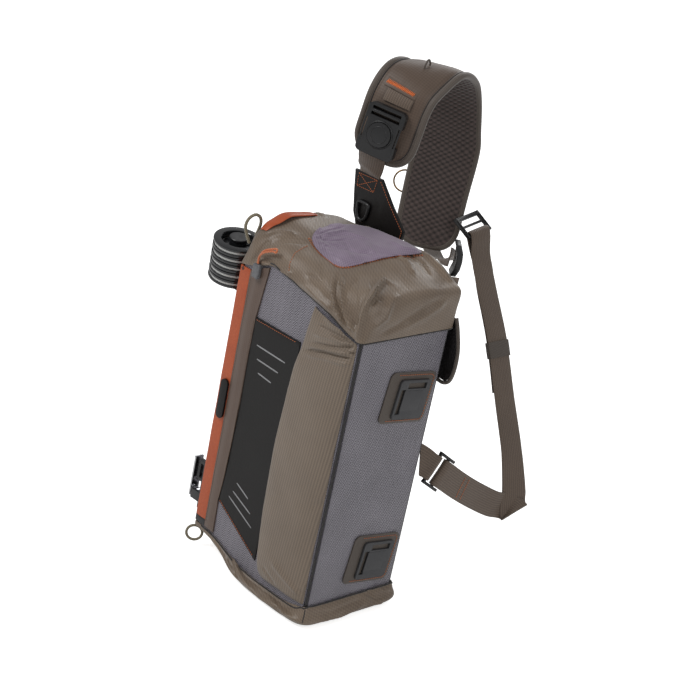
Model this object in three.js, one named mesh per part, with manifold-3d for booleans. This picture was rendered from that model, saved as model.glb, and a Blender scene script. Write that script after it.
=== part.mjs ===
// Fishing tackle sling bag: a boxy padded pack with a hood, a front pocket, a welded zip down its
// front left edge, a padded shoulder loop and a webbing strap behind it.
// Millimetres, +Z up. The front with the dark panel faces -Y, the side with the two lash tabs +X.
// The origin is on the ground under the middle of the walls.
import * as THREE from 'three';
import { mergeVertices } from 'three/addons/utils/BufferGeometryUtils.js';
import Module from 'manifold-3d';

const wasm = await Module();
wasm.setup();

// Driving dimensions
const BAG = { left: -114, right: 114, front: -79, back: 79 };
const PADDED_WALL = 3;
const CLOTH = 2;
const GAP = 0.3;
const PIPING_RADIUS = 2;
const HOOD_OUTSET = 3.6;
const WEBBING = { width: 38, thick: 1.8 };
const PAD = { width: 88, fabric: 9, lining: 1.6, binding: 3.2, endRadius: 34 };
const SPOOL = { radius: 33, bore: 8.4, height: 11, pitch: 11.4, count: 5, grooveFloor: 27, sides: 14 };

const COLOURS = {
  khaki: [0x786e5f, 0.85, 0],
  greyMesh: [0x67626c, 0.8, 0],
  mauve: [0x80727f, 0.75, 0],
  orange: [0xb85c36, 0.55, 0],
  blackPanel: [0x232323, 0.6, 0],
  strapFabric: [0x5b5149, 0.85, 0],
  lining: [0x443a39, 0.95, 0],
  webbing: [0x71675a, 0.8, 0],
  piping: [0x2b2829, 0.7, 0],
  hardPlastic: [0x3a3a3d, 0.45, 0],
  grip: [0x80868a, 0.35, 0],
  cord: [0x7a7260, 0.8, 0],
  line: [0xd9d9d6, 0.25, 0],
  chrome: [0xc9c9cc, 0.2, 1],
  bronze: [0x8a6a45, 0.5, 0],
};

const group = new THREE.Group();

const point = (x, y, z) => new THREE.Vector3(x, y, z);
const radians = (degrees) => THREE.MathUtils.degToRad(degrees);
const mix = (a, b, t) => a + (b - a) * t;
const ease = (t) => THREE.MathUtils.smoothstep(t, 0, 1);

function material(finish) {
  const [color, roughness, metalness] = COLOURS[finish];
  return new THREE.MeshStandardMaterial({ color, roughness, metalness });
}

function add(name, geometry, finish) {
  const mesh = new THREE.Mesh(geometry, material(finish));
  mesh.name = name;
  group.add(mesh);
}

// A column of a table, read between its rows by a smooth or a straight line.
function column(rows, key, value, at, smooth = false) {
  const last = rows.length - 1;
  if (at <= rows[0][key]) return rows[0][value];
  if (at >= rows[last][key]) return rows[last][value];
  const next = rows.findIndex((row) => row[key] > at);
  const low = rows[next - 1];
  const high = rows[next];
  const t = (at - low[key]) / (high[key] - low[key]);
  return mix(low[value], high[value], smooth ? ease(t) : t);
}

// Closed meshes from points and triangles, turned so that the faces point out
function body(points, faces) {
  let volume = 0;
  const cross = point(0, 0, 0);
  for (const [a, b, c] of faces) {
    volume += points[a].dot(cross.crossVectors(points[b], points[c]));
  }
  const geometry = new THREE.BufferGeometry();
  geometry.setAttribute('position', new THREE.Float32BufferAttribute(points.flatMap((p) => p.toArray()), 3));
  geometry.setIndex(faces.flatMap(([a, b, c]) => (volume > 0 ? [a, b, c] : [a, c, b])));
  return geometry;
}

// Rings with equal numbers of points, joined in turn. An open run of rings gets flat ends.
function loft(rings, closed = false) {
  const count = rings[0].length;
  const points = rings.flat();
  const faces = [];
  const bands = closed ? rings.length : rings.length - 1;
  for (let ring = 0; ring < bands; ring += 1) {
    const next = (ring + 1) % rings.length;
    for (let k = 0; k < count; k += 1) {
      const a = ring * count + k;
      const b = ring * count + ((k + 1) % count);
      const c = next * count + ((k + 1) % count);
      const d = next * count + k;
      faces.push([a, b, c], [a, c, d]);
    }
  }
  if (!closed) {
    for (const ring of [0, rings.length - 1]) {
      const middle = rings[ring].reduce((sum, p) => sum.clone().add(p), point(0, 0, 0));
      points.push(middle.divideScalar(count));
      for (let k = 0; k < count; k += 1) {
        const a = ring * count + k;
        const b = ring * count + ((k + 1) % count);
        faces.push(ring === 0 ? [points.length - 1, b, a] : [points.length - 1, a, b]);
      }
    }
  }
  return body(points, faces);
}

// A bowl of cloth: rings from the rim to the middle of the outer face, and the same inside.
// outer and inner give the point for the angle u and the row v, each from 0 to 1.
function bowl(around, rows, outer, inner) {
  const points = [];
  const faces = [];
  const sides = [outer, inner].map((surface) => {
    const start = points.length;
    for (const v of rows) {
      for (let k = 0; k < around; k += 1) points.push(surface(k / around, v));
    }
    points.push(surface(0, 1));
    return { start, pole: points.length - 1 };
  });
  const at = (side, row, k) => side.start + row * around + (k % around);
  sides.forEach((side, inside) => {
    const facing = (a, b, c) => faces.push(inside ? [a, c, b] : [a, b, c]);
    for (let k = 0; k < around; k += 1) {
      for (let row = 0; row < rows.length - 1; row += 1) {
        facing(at(side, row, k), at(side, row, k + 1), at(side, row + 1, k + 1));
        facing(at(side, row, k), at(side, row + 1, k + 1), at(side, row + 1, k));
      }
      facing(at(side, rows.length - 1, k), at(side, rows.length - 1, k + 1), side.pole);
    }
  });
  for (let k = 0; k < around; k += 1) {
    const [a, b] = [at(sides[0], 0, k), at(sides[0], 0, k + 1)];
    const [c, d] = [at(sides[1], 0, k + 1), at(sides[1], 0, k)];
    faces.push([b, a, d], [b, d, c]);
  }
  return body(points, faces);
}

// A panel of cloth: two grids of points, one for each face, joined round their edge.
function panel(columns, rows, outer, inner) {
  const points = [];
  const faces = [];
  for (const surface of [outer, inner]) {
    for (const v of rows) {
      for (const u of columns) points.push(surface(u, v));
    }
  }
  const size = rows.length * columns.length;
  const at = (row, col, side) => side * size + row * columns.length + col;
  const quad = (a, b, c, d) => faces.push([a, b, c], [a, c, d]);
  for (let row = 0; row < rows.length - 1; row += 1) {
    for (let col = 0; col < columns.length - 1; col += 1) {
      quad(at(row, col, 0), at(row, col + 1, 0), at(row + 1, col + 1, 0), at(row + 1, col, 0));
      quad(at(row, col, 1), at(row + 1, col, 1), at(row + 1, col + 1, 1), at(row, col + 1, 1));
    }
    const end = columns.length - 1;
    quad(at(row, 0, 0), at(row + 1, 0, 0), at(row + 1, 0, 1), at(row, 0, 1));
    quad(at(row, end, 0), at(row, end, 1), at(row + 1, end, 1), at(row + 1, end, 0));
  }
  for (let col = 0; col < columns.length - 1; col += 1) {
    const end = rows.length - 1;
    quad(at(0, col, 0), at(0, col, 1), at(0, col + 1, 1), at(0, col + 1, 0));
    quad(at(end, col, 0), at(end, col + 1, 0), at(end, col + 1, 1), at(end, col, 1));
  }
  return body(points, faces);
}

const steps = (count) => Array.from({ length: count + 1 }, (_, k) => k / count);

// A round cord or rod along a smooth line through the points
function cord(points, radius, sides = 8, count = 24, closed = false) {
  const curve = new THREE.CatmullRomCurve3(points, closed, 'centripetal');
  const frames = curve.computeFrenetFrames(count, closed);
  const total = closed ? count : count + 1;
  const rings = [];
  for (let k = 0; k < total; k += 1) {
    const centre = curve.getPointAt(k / count);
    const ring = [];
    for (let side = 0; side < sides; side += 1) {
      const angle = (2 * Math.PI * side) / sides;
      ring.push(centre.clone()
        .addScaledVector(frames.normals[k], radius * Math.cos(angle))
        .addScaledVector(frames.binormals[k], radius * Math.sin(angle)));
    }
    rings.push(ring);
  }
  return loft(rings, closed);
}

// Solids cut from and joined to each other
function solid(geometry) {
  const plain = geometry.clone();
  plain.deleteAttribute('normal');
  plain.deleteAttribute('uv');
  const merged = mergeVertices(plain, 1e-4);
  return new wasm.Manifold(new wasm.Mesh({
    numProp: 3,
    vertProperties: new Float32Array(merged.attributes.position.array),
    triVerts: new Uint32Array(merged.index.array),
  }));
}

function geometryOf(manifold) {
  const mesh = manifold.getMesh();
  const geometry = new THREE.BufferGeometry();
  geometry.setAttribute('position', new THREE.Float32BufferAttribute(mesh.vertProperties, 3));
  geometry.setIndex(Array.from(mesh.triVerts));
  return geometry;
}

const joined = (...geometries) => geometryOf(geometries.map(solid).reduce((a, b) => a.add(b)));
const cut = (whole, ...tools) => geometryOf(tools.map(solid).reduce((a, b) => a.subtract(b), solid(whole)));

function block(low, high) {
  const size = high.map((value, axis) => value - low[axis]);
  return new THREE.BoxGeometry(...size).translate(...low.map((value, axis) => value + size[axis] / 2));
}

// Flat pieces cut from a sheet: an outline in the plane of a wall, and its two depths
const FLAT = { bevelEnabled: false, curveSegments: 4 };
const outlineShape = (rows) => new THREE.Shape(rows.map((row) => new THREE.Vector2(row.across, row.z)));

function onFront(shape, outer, inner) {
  const geometry = new THREE.ExtrudeGeometry(shape, { depth: Math.abs(inner - outer), ...FLAT });
  return geometry.rotateX(Math.PI / 2).translate(0, Math.max(outer, inner), 0);
}

function onSide(shape, inner, outer) {
  const geometry = new THREE.ExtrudeGeometry(shape, { depth: Math.abs(outer - inner), ...FLAT });
  return geometry.rotateX(Math.PI / 2).rotateZ(Math.PI / 2).translate(Math.min(inner, outer), 0, 0);
}

function roundedRect(width, height, radius) {
  const [x, y] = [width / 2, height / 2];
  const shape = new THREE.Shape();
  shape.moveTo(-x + radius, -y);
  shape.lineTo(x - radius, -y);
  shape.absarc(x - radius, -y + radius, radius, -Math.PI / 2, 0);
  shape.lineTo(x, y - radius);
  shape.absarc(x - radius, y - radius, radius, 0, Math.PI / 2);
  shape.lineTo(-x + radius, y);
  shape.absarc(-x + radius, y - radius, radius, Math.PI / 2, Math.PI);
  shape.lineTo(-x, -y + radius);
  shape.absarc(-x + radius, -y + radius, radius, Math.PI, 1.5 * Math.PI);
  return shape;
}

// Lower edge of the hood, across the bag from its left side to its right
const HOOD_EDGE = [
  { x: -114, z: 417 },
  { x: -98, z: 417 },
  { x: -84, z: 424 },
  { x: -70, z: 436 },
  { x: -53, z: 438 },
  { x: -7, z: 429 },
  { x: 52, z: 418 },
  { x: 100, z: 401 },
  { x: 114, z: 401 },
];
const hoodLine = (x) => column(HOOD_EDGE, 'x', 'z', x);

// Foot of the bag: flat on the ground but for its front left edge, which turns up
const FOOT = [
  { x: -114, under: 34, rim: 41 },
  { x: -94, under: 33, rim: 40 },
  { x: -76, under: 30, rim: 38 },
  { x: -61, under: 26, rim: 34 },
  { x: -46, under: 19, rim: 29 },
  { x: -25, under: 8, rim: 23 },
  { x: 0, under: 1, rim: 20 },
  { x: 20, under: 0, rim: 19 },
  { x: 90, under: 0, rim: 20 },
  { x: 114, under: 0, rim: 31 },
];
const TURNED_UP = { from: -36, to: -70 };
const BACK_RIM = 30;
const upturn = (y) => ease((y - TURNED_UP.from) / (TURNED_UP.to - TURNED_UP.from));
const footUnder = (x, y) => column(FOOT, 'x', 'under', x) * upturn(y);
const footRim = (x, y) => mix(BACK_RIM, column(FOOT, 'x', 'rim', x), upturn(y));

// Walls of the main compartment
const WALL_TUCK = { top: 4, foot: 8 };
const WALL_EDGE = PIPING_RADIUS * 2 + 0.5;
const wallTop = (x) => hoodLine(x) + WALL_TUCK.top;
const wallFoot = (x, y) => Math.max(footRim(x, y) - WALL_TUCK.foot, footUnder(x, y) + CLOTH + 1.2);
const BACK_FOOT_RADIUS = 30;

function sideWall() {
  const shape = new THREE.Shape();
  const [near, far] = [BAG.front + WALL_EDGE, BAG.back - WALL_EDGE];
  const foot = wallFoot(BAG.right, 0);
  const top = wallTop(BAG.right);
  shape.moveTo(near, foot);
  shape.lineTo(far - BACK_FOOT_RADIUS, foot);
  shape.absarc(far - BACK_FOOT_RADIUS, foot + BACK_FOOT_RADIUS, BACK_FOOT_RADIUS, -Math.PI / 2, 0);
  shape.lineTo(far, top);
  shape.lineTo(near, top);
  return shape;
}

function wallAcross(y) {
  const [left, right] = [BAG.left + WALL_EDGE, BAG.right - WALL_EDGE];
  const between = (rows) => rows.map((row) => row.x).filter((x) => x > left && x < right);
  const low = [left, ...between(FOOT), right].map((x) => ({ across: x, z: wallFoot(x, y) }));
  const high = [right, ...between(HOOD_EDGE).reverse(), left].map((x) => ({ across: x, z: wallTop(x) }));
  return outlineShape([...low, ...high]);
}

add('side_wall_right', onSide(sideWall(), BAG.right - PADDED_WALL, BAG.right), 'greyMesh');
const leftWall = outlineShape([
  ...[BAG.front + WALL_EDGE, -64, -53, -43, TURNED_UP.from, BAG.back - WALL_EDGE]
    .map((y) => ({ across: y, z: wallFoot(BAG.left, y) })),
  { across: BAG.back - WALL_EDGE, z: wallTop(BAG.left) },
  { across: BAG.front + WALL_EDGE, z: wallTop(BAG.left) },
]);
add('side_wall_left', onSide(leftWall, BAG.left, BAG.left + PADDED_WALL), 'greyMesh');

add('front_wall', onFront(wallAcross(BAG.front), BAG.front, BAG.front + PADDED_WALL), 'greyMesh');
add('back_wall', onFront(wallAcross(BAG.back), BAG.back, BAG.back - PADDED_WALL), 'greyMesh');

// Piping that closes the upright seams. The zip band closes the fourth.
const SEAMS = [
  { name: 'piping_front_right', x: BAG.right, y: BAG.front, foot: 26, top: 404 },
  { name: 'piping_back_right', x: BAG.right, y: BAG.back, foot: 60, top: 404 },
  { name: 'piping_back_left', x: BAG.left, y: BAG.back, foot: 40, top: 422 },
];
const PIPING_INSET = PIPING_RADIUS + 0.4;
for (const seam of SEAMS) {
  const x = seam.x - Math.sign(seam.x) * PIPING_INSET;
  const y = seam.y - Math.sign(seam.y) * PIPING_INSET;
  const rod = new THREE.CylinderGeometry(PIPING_RADIUS - 0.2, PIPING_RADIUS - 0.2, seam.top - seam.foot, 10);
  add(seam.name, rod.rotateX(Math.PI / 2).translate(x, y, (seam.top + seam.foot) / 2), 'piping');
}

// Plan of the hood and the foot: a rounded rectangle, walked at an even rate round its four sides
function plan(u, outset, radius) {
  const [left, right] = [BAG.left - outset, BAG.right + outset];
  const [front, back] = [BAG.front - outset, BAG.back + outset];
  const corners = [
    { x: right - radius, y: front + radius, turn: -90 },
    { x: right - radius, y: back - radius, turn: 0 },
    { x: left + radius, y: back - radius, turn: 90 },
    { x: left + radius, y: front + radius, turn: 180 },
  ];
  const ARC_SHARE = 0.25;
  const side = Math.floor(u * 4) % 4;
  const along = u * 4 - Math.floor(u * 4);
  const corner = corners[side];
  if (along < ARC_SHARE) {
    const angle = radians(corner.turn + (90 * along) / ARC_SHARE);
    return { x: corner.x + radius * Math.cos(angle), y: corner.y + radius * Math.sin(angle) };
  }
  const next = corners[(side + 1) % 4];
  const angle = radians(corner.turn + 90);
  const t = (along - ARC_SHARE) / (1 - ARC_SHARE);
  return {
    x: mix(corner.x, next.x, t) + radius * Math.cos(angle),
    y: mix(corner.y, next.y, t) + radius * Math.sin(angle),
  };
}

// Hood: height of its top at four places across the bag, a row for each section from front to back
const HOOD_TOP = [
  { y: -90, left: 452, middle: 452, crest: 450, right: 448 },
  { y: -55, left: 473, middle: 461, crest: 460, right: 455 },
  { y: -20, left: 483, middle: 470, crest: 470, right: 460 },
  { y: 20, left: 481, middle: 477, crest: 478, right: 461 },
  { y: 82, left: 473, middle: 480, crest: 482, right: 458 },
];
const HOOD_ACROSS = [
  { x: -100, column: 'left' },
  { x: -10, column: 'middle' },
  { x: 62, column: 'crest' },
  { x: 116, column: 'right' },
];

function hoodTop(x, y) {
  const heights = HOOD_ACROSS.map((row) => ({ x: row.x, z: column(HOOD_TOP, 'y', row.column, y, true) }));
  return column(heights, 'x', 'z', x, true);
}

// Main folds of the hood: ridges from one point to the next, raised over their width
const HOOD_FOLDS = [
  { from: [26, -86, 412], to: [20, -70, 452], width: 6, raise: 3.5 },
  { from: [44, -86, 410], to: [34, -70, 454], width: 7, raise: 4.5 },
  { from: [104, -84, 404], to: [92, -62, 456], width: 8, raise: 5 },
  { from: [92, -62, 456], to: [112, -10, 440], width: 9, raise: 4 },
  { from: [60, -84, 412], to: [104, -84, 404], width: 7, raise: -3 },
  { from: [112, 20, 452], to: [112, 74, 446], width: 12, raise: 3.5 },
];

function foldRaise(folds, at) {
  let raise = 0;
  for (const fold of folds) {
    const line = new THREE.Line3(point(...fold.from), point(...fold.to));
    const near = line.closestPointToPoint(at, true, point(0, 0, 0));
    raise += fold.raise * Math.exp(-((near.distanceTo(at) / fold.width) ** 2));
  }
  return raise;
}

const HOOD_SHOULDER = { soft: 20, sharp: 9 };
const HOOD_ROWS = [0, 0.12, 0.24, 0.34, 0.44, 0.54, 0.68, 0.84];
const HOOD_CENTRE = { x: 6, y: 4 };
const HOOD_CORNER = { rim: 6, top: 24, sharp: 8 };
const sharpness = (x, y) => ease((x + y - 50) / 90);

// A point of the hood: up its wall, round its shoulder, then over its top to the middle
function hoodPoint(u, v, thickness) {
  const wall = Math.min(v / 0.24, 1);
  const turn = radians(90 * THREE.MathUtils.clamp((v - 0.24) / 0.3, 0, 1));
  const crossing = Math.max((v - 0.54) / 0.46, 0);
  const rimPlace = plan(u, 0, HOOD_CORNER.rim);
  const sharp = sharpness(rimPlace.x, rimPlace.y);
  const room = hoodTop(rimPlace.x, rimPlace.y) - hoodLine(rimPlace.x) - 3;
  const shoulder = Math.min(mix(HOOD_SHOULDER.soft, HOOD_SHOULDER.sharp, sharp), room);
  const corner = mix(HOOD_CORNER.rim, mix(HOOD_CORNER.top, HOOD_CORNER.sharp, sharp), wall);
  const inset = shoulder * (1 - Math.cos(turn)) + thickness;
  const edge = plan(u, HOOD_OUTSET - inset, Math.max(corner - inset, 1.5));
  const x = mix(edge.x, HOOD_CENTRE.x, crossing);
  const y = mix(edge.y, HOOD_CENTRE.y, crossing);
  const rim = hoodLine(x);
  const z = mix(rim, hoodTop(x, y) - shoulder, wall) + (shoulder - thickness) * Math.sin(turn);
  const found = point(x, y, v === 0 ? rim : z);
  const raise = foldRaise(HOOD_FOLDS, found) * Math.min(v / 0.12, 1);
  const outward = point(x - HOOD_CENTRE.x, y - HOOD_CENTRE.y, 0).normalize();
  found.addScaledVector(outward, raise * Math.cos(turn));
  found.z += raise * Math.sin(turn);
  return found;
}
add('hood', bowl(
  48,
  HOOD_ROWS,
  (u, v) => hoodPoint(u, v, 0),
  (u, v) => hoodPoint(u, v, CLOTH),
), 'khaki');

// Foot: a boot of cloth round the bottom, swelling past the walls and flat where it stands
const BOOT_ROWS = [
  { v: 0, swell: 0, height: 1 },
  { v: 0.2, swell: 5, height: 0.72 },
  { v: 0.4, swell: 9, height: 0.4 },
  { v: 0.6, swell: 7, height: 0.14 },
  { v: 0.75, swell: -3, height: 0 },
  { v: 0.84, swell: -20, height: 0 },
  { v: 0.92, swell: -46, height: 0 },
];
const BOOT_FOLDS = [
  { from: [112, 60, 18], to: [116, 84, 22], width: 6, raise: -4 },
  { from: [60, -88, 10], to: [88, -90, 6], width: 5, raise: 2.5 },
  { from: [-40, -84, 16], to: [10, -90, 20], width: 7, raise: 2.5 },
];
const BOOT_OUTSET = CLOTH + GAP;
const BOOT_CENTRE = { x: 20, y: 0 };

function bootPoint(u, v, thickness) {
  const place = plan(u, 0, 4);
  const soft = Math.max(ease((place.x + 75) / 60), 0.5 - 0.5 * upturn(place.y));
  const row = column(BOOT_ROWS, 'v', 'swell', v);
  const swell = row > 0 ? row * soft : row;
  const corner = mix(4, mix(4.4, 20, soft), Math.min(v / 0.6, 1));
  const edge = v < 1 ? plan(u, BOOT_OUTSET + swell - thickness, corner) : BOOT_CENTRE;
  const floor = footUnder(edge.x, edge.y) + (v === 0 ? 0 : thickness);
  const height = mix(floor, footRim(edge.x, edge.y), column(BOOT_ROWS, 'v', 'height', v));
  const found = point(edge.x, edge.y, height);
  const outward = point(edge.x - BOOT_CENTRE.x, edge.y - BOOT_CENTRE.y, 0).normalize();
  return v > 0 && v < 1 ? found.addScaledVector(outward, foldRaise(BOOT_FOLDS, found)) : found;
}
add('boot', bowl(
  44,
  BOOT_ROWS.map((row) => row.v),
  (u, v) => bootPoint(u, v, 0),
  (u, v) => bootPoint(u, v, CLOTH),
), 'khaki');

// Front pocket: a row for each height, with its left edge and how far it stands out
const POCKET = [
  { at: 0, left: 30, low: 29, high: 31, depth: 3 },
  { at: 0.03, left: 22, low: 34, high: 36, depth: 9 },
  { at: 0.08, left: 16, low: 48, high: 48, depth: 12.5 },
  { at: 0.2, left: 12, low: 92, high: 92, depth: 14 },
  { at: 0.36, left: 8, low: 163, high: 163, depth: 14 },
  { at: 0.54, left: 8, low: 235, high: 235, depth: 14 },
  { at: 0.68, left: 11, low: 293, high: 296, depth: 14 },
  { at: 0.8, left: 16, low: 342, high: 362, depth: 13 },
  { at: 0.84, left: 18, low: 352, high: 376, depth: 8.5 },
  { at: 0.9, left: 22, low: 376, high: 384, depth: 11 },
  { at: 1, left: 26, low: 418, high: 400, depth: 5.5 },
];
const POCKET_RIGHT = BAG.right - WALL_EDGE - GAP;
const POCKET_ACROSS = [0, 0.03, 0.1, 0.25, 0.42, 0.6, 0.76, 0.9, 0.97, 1];
const POCKET_FACE = BAG.front - GAP;
const POCKET_FOLDS = [
  { from: [40, -90, 405], to: [104, -88, 378], width: 7, raise: 3.5 },
  { from: [28, -90, 392], to: [70, -92, 378], width: 6, raise: 3 },
  { from: [84, -92, 398], to: [106, -84, 388], width: 5, raise: -2.5 },
  { from: [30, -92, 60], to: [70, -92, 40], width: 8, raise: 2.5 },
];

function pocketPoint(u, v, thickness) {
  const left = column(POCKET, 'at', 'left', v) + thickness;
  const low = column(POCKET, 'at', 'low', v);
  const high = column(POCKET, 'at', 'high', v);
  const depth = column(POCKET, 'at', 'depth', v);
  const x = mix(left, POCKET_RIGHT - thickness, u);
  const crown = Math.pow(Math.max(1 - Math.abs(2 * u - 0.9) ** 3.2 / 1.4, 0), 0.7);
  const edge = u === 0 || u === 1;
  const out = edge ? 0 : Math.max(depth * crown - thickness, 0.4);
  const end = v === 0 ? thickness : 0;
  const found = point(x, POCKET_FACE - out, mix(low, high, u) + end - (v === 1 ? thickness : 0));
  if (!edge) found.y -= Math.max(foldRaise(POCKET_FOLDS, found), -out / 2);
  return found;
}
const pocketRows = POCKET.map((row) => row.at);
add('front_pocket', panel(
  POCKET_ACROSS,
  pocketRows,
  (u, v) => pocketPoint(u, v, 0),
  (u, v) => (v === 0 || v === 1 ? pocketPoint(u, v, CLOTH).setY(POCKET_FACE) : pocketPoint(u, v, CLOTH)),
), 'khaki');

// Dark panel on the front, beside the pocket
const PANEL_THICK = 1.5;
const darkPanel = outlineShape([
  { across: -77, z: 91 },
  { across: -34, z: 68 },
  { across: 10, z: 44 },
  ...POCKET.filter((row) => row.low > 60 && row.low < 345)
    .map((row) => ({ across: row.left - 0.5, z: row.low })),
  { across: 15, z: 361 },
  { across: -70, z: 360 },
  { across: -71, z: 306 },
  { across: -70, z: 243 },
  { across: -72, z: 168 },
  { across: -74, z: 122 },
]);
add('dark_panel', onFront(darkPanel, POCKET_FACE - PANEL_THICK, POCKET_FACE), 'blackPanel');

// Storm flap between the dark panel and the zip
const stormFlap = outlineShape([
  { across: -94.5, z: 44 },
  { across: -76, z: 42 },
  { across: -77.5, z: 91 },
  { across: -74.5, z: 122 },
  { across: -72.5, z: 168 },
  { across: -70.5, z: 243 },
  { across: -71.5, z: 306 },
  { across: -70.5, z: 360 },
  { across: -63, z: 421 },
  { across: -62, z: 430.5 },
  { across: -70, z: 427.5 },
  { across: -84, z: 418.5 },
  { across: -94.5, z: 415 },
]);
add('storm_flap', onFront(stormFlap, POCKET_FACE - 2.4, POCKET_FACE), 'khaki');

// Welded zip band, bent round the front left edge of the bag
const ZIP = { foot: 52, top: 415, thick: 2.2, onFront: -95, onSide: -60 };

function cornerBand(foot, top) {
  const [x, y] = [BAG.left - GAP, BAG.front - GAP];
  const round = 4;
  const shape = new THREE.Shape();
  shape.moveTo(ZIP.onFront, y - ZIP.thick);
  shape.lineTo(ZIP.onFront, y);
  shape.lineTo(x + round - ZIP.thick, y);
  shape.lineTo(x, y + round - ZIP.thick);
  shape.lineTo(x, ZIP.onSide);
  shape.lineTo(x - ZIP.thick, ZIP.onSide);
  shape.lineTo(x - ZIP.thick, y - ZIP.thick + round);
  shape.absarc(x - ZIP.thick + round, y - ZIP.thick + round, round, Math.PI, 1.5 * Math.PI);
  return new THREE.ExtrudeGeometry(shape, { depth: top - foot, ...FLAT }).translate(0, 0, foot);
}
add('zip_band_front', cornerBand(ZIP.foot, ZIP.top), 'orange');
add('zip_end_low', cornerBand(ZIP.foot - 9, ZIP.foot - GAP), 'hardPlastic');

// The same band over the left shoulder of the hood
const TOP_BAND = { from: -68, to: 62, inner: -90, outer: -109, lift: 1.2, thick: 2 };

// How far a rounded shoulder has dropped at a depth in from where it starts
function shoulderDrop(depth) {
  const reach = HOOD_SHOULDER.soft;
  return reach - Math.sqrt(reach ** 2 - THREE.MathUtils.clamp(depth, 0, 18) ** 2);
}

function bandPoint(u, v, lift) {
  const x = mix(TOP_BAND.inner, TOP_BAND.outer, u);
  const y = mix(TOP_BAND.from, TOP_BAND.to, v);
  const sideways = shoulderDrop(BAG.left - HOOD_OUTSET + HOOD_SHOULDER.soft - x);
  const forward = shoulderDrop(BAG.front - HOOD_OUTSET + HOOD_SHOULDER.soft - y);
  return point(x - lift * 0.6, y, hoodTop(x, y) - sideways - forward + TOP_BAND.lift + lift);
}
add('zip_band_top', panel(
  steps(4),
  steps(12),
  (u, v) => bandPoint(u, v, TOP_BAND.thick),
  (u, v) => bandPoint(u, v, 0),
), 'orange');

// Stow pocket gathered over the top of the hood
const STOW_EDGE = [
  { x: -48, y: -36 },
  { x: -14, y: -46 },
  { x: 22, y: -52 },
  { x: 36, y: -38 },
  { x: 44, y: -2 },
  { x: 52, y: 36 },
  { x: 58, y: 66 },
  { x: 20, y: 70 },
  { x: -20, y: 68 },
  { x: -50, y: 58 },
  { x: -60, y: 24 },
  { x: -60, y: -8 },
];
const STOW = { rise: 5.5, thick: 2, lift: 1.2, centre: { x: -2, y: 12 } };
const stowCurve = new THREE.CatmullRomCurve3(STOW_EDGE.map((row) => point(row.x, row.y, 0)), true);

function stowPoint(u, v, thickness) {
  const edge = stowCurve.getPoint(u);
  const inset = v === 0 ? thickness / 30 : 0;
  const x = mix(edge.x, STOW.centre.x, Math.min(v + inset, 1));
  const y = mix(edge.y, STOW.centre.y, Math.min(v + inset, 1));
  const rise = STOW.rise * Math.sqrt(1 - (1 - v) ** 4);
  const under = v === 0 ? 0 : Math.max(rise - thickness, 0);
  return point(x, y, hoodTop(x, y) + STOW.lift + (thickness > 0 ? under : rise));
}
add('stow_pocket', bowl(
  24,
  [0, 0.1, 0.3, 0.6],
  (u, v) => stowPoint(u, v, 0),
  (u, v) => stowPoint(u, v, STOW.thick),
), 'mauve');

// Lash tabs on the right side: a welded patch and a slotted plate on each
const TABS = [
  { name: 'upper', y: 25, z: 314, turn: -6.5 },
  { name: 'lower', y: 25, z: 80, turn: -7.5 },
];
const PATCH = { width: 85, height: 70, radius: 9, thick: 1.8 };
const PLATE = { width: 56, height: 54, radius: 5, thick: 3.2, offset: { y: 4, z: -2 } };
const SLOTS = [
  { y: 4, z: 19, width: 34, height: 8 },
  { y: -20, z: -3, width: 8, height: 34 },
];

function tabPart(tab, shape, inner, thick) {
  return onSide(shape, 0, thick)
    .rotateX(radians(tab.turn))
    .translate(inner, tab.y, tab.z);
}
for (const tab of TABS) {
  const patch = roundedRect(PATCH.width, PATCH.height, PATCH.radius);
  const face = BAG.right + GAP;
  add(`tab_patch_${tab.name}`, tabPart(tab, patch, face, PATCH.thick), 'strapFabric');
  const plate = roundedRect(PLATE.width, PLATE.height, PLATE.radius);
  for (const slot of SLOTS) {
    const [w, h] = [slot.width / 2, slot.height / 2];
    const corners = [[-w, -h], [-w, h], [w, h], [w, -h]];
    plate.holes.push(new THREE.Path(corners.map(([a, b]) => new THREE.Vector2(slot.y + a, slot.z + b))));
  }
  const centre = { ...tab, y: tab.y + PLATE.offset.y, z: tab.z + PLATE.offset.z };
  add(`tab_plate_${tab.name}`, tabPart(centre, plate, face + PATCH.thick + GAP, PLATE.thick), 'hardPlastic');
}

// Oval rubber tab over the edge of the zip band
const ovalTab = roundedRect(13, 56, 6.4);
add('oval_tab', onFront(ovalTab, -3, 0).translate(-102, BAG.front - 3.2, 231), 'blackPanel');

// Padded back, thicker at its foot, and the bound wing at its upper right edge
const BACK_PAD = [
  { v: 0, low: 46, half: 104, depth: 3 },
  { v: 0.08, low: 56, half: 110, depth: 14 },
  { v: 0.2, low: 96, half: 108, depth: 12 },
  { v: 0.55, low: 230, half: 104, depth: 8 },
  { v: 0.92, low: 382, half: 102, depth: 8 },
  { v: 1, low: 398, half: 96, depth: 3 },
];

function backPadPoint(u, v, depthShare) {
  const half = column(BACK_PAD, 'v', 'half', v);
  const depth = column(BACK_PAD, 'v', 'depth', v);
  const bulge = 1 - Math.abs(2 * u - 1) ** 6;
  const y = BAG.back + GAP + depthShare * (2.5 + (depth - 2.5) * bulge);
  return point(mix(-half, half, u), y, column(BACK_PAD, 'v', 'low', v));
}
add('back_pad', panel(
  [0, 0.04, 0.14, 0.5, 0.86, 0.96, 1],
  BACK_PAD.map((row) => row.v),
  (u, v) => backPadPoint(u, v, 1),
  (u, v) => backPadPoint(u, v, 0),
), 'lining');

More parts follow.
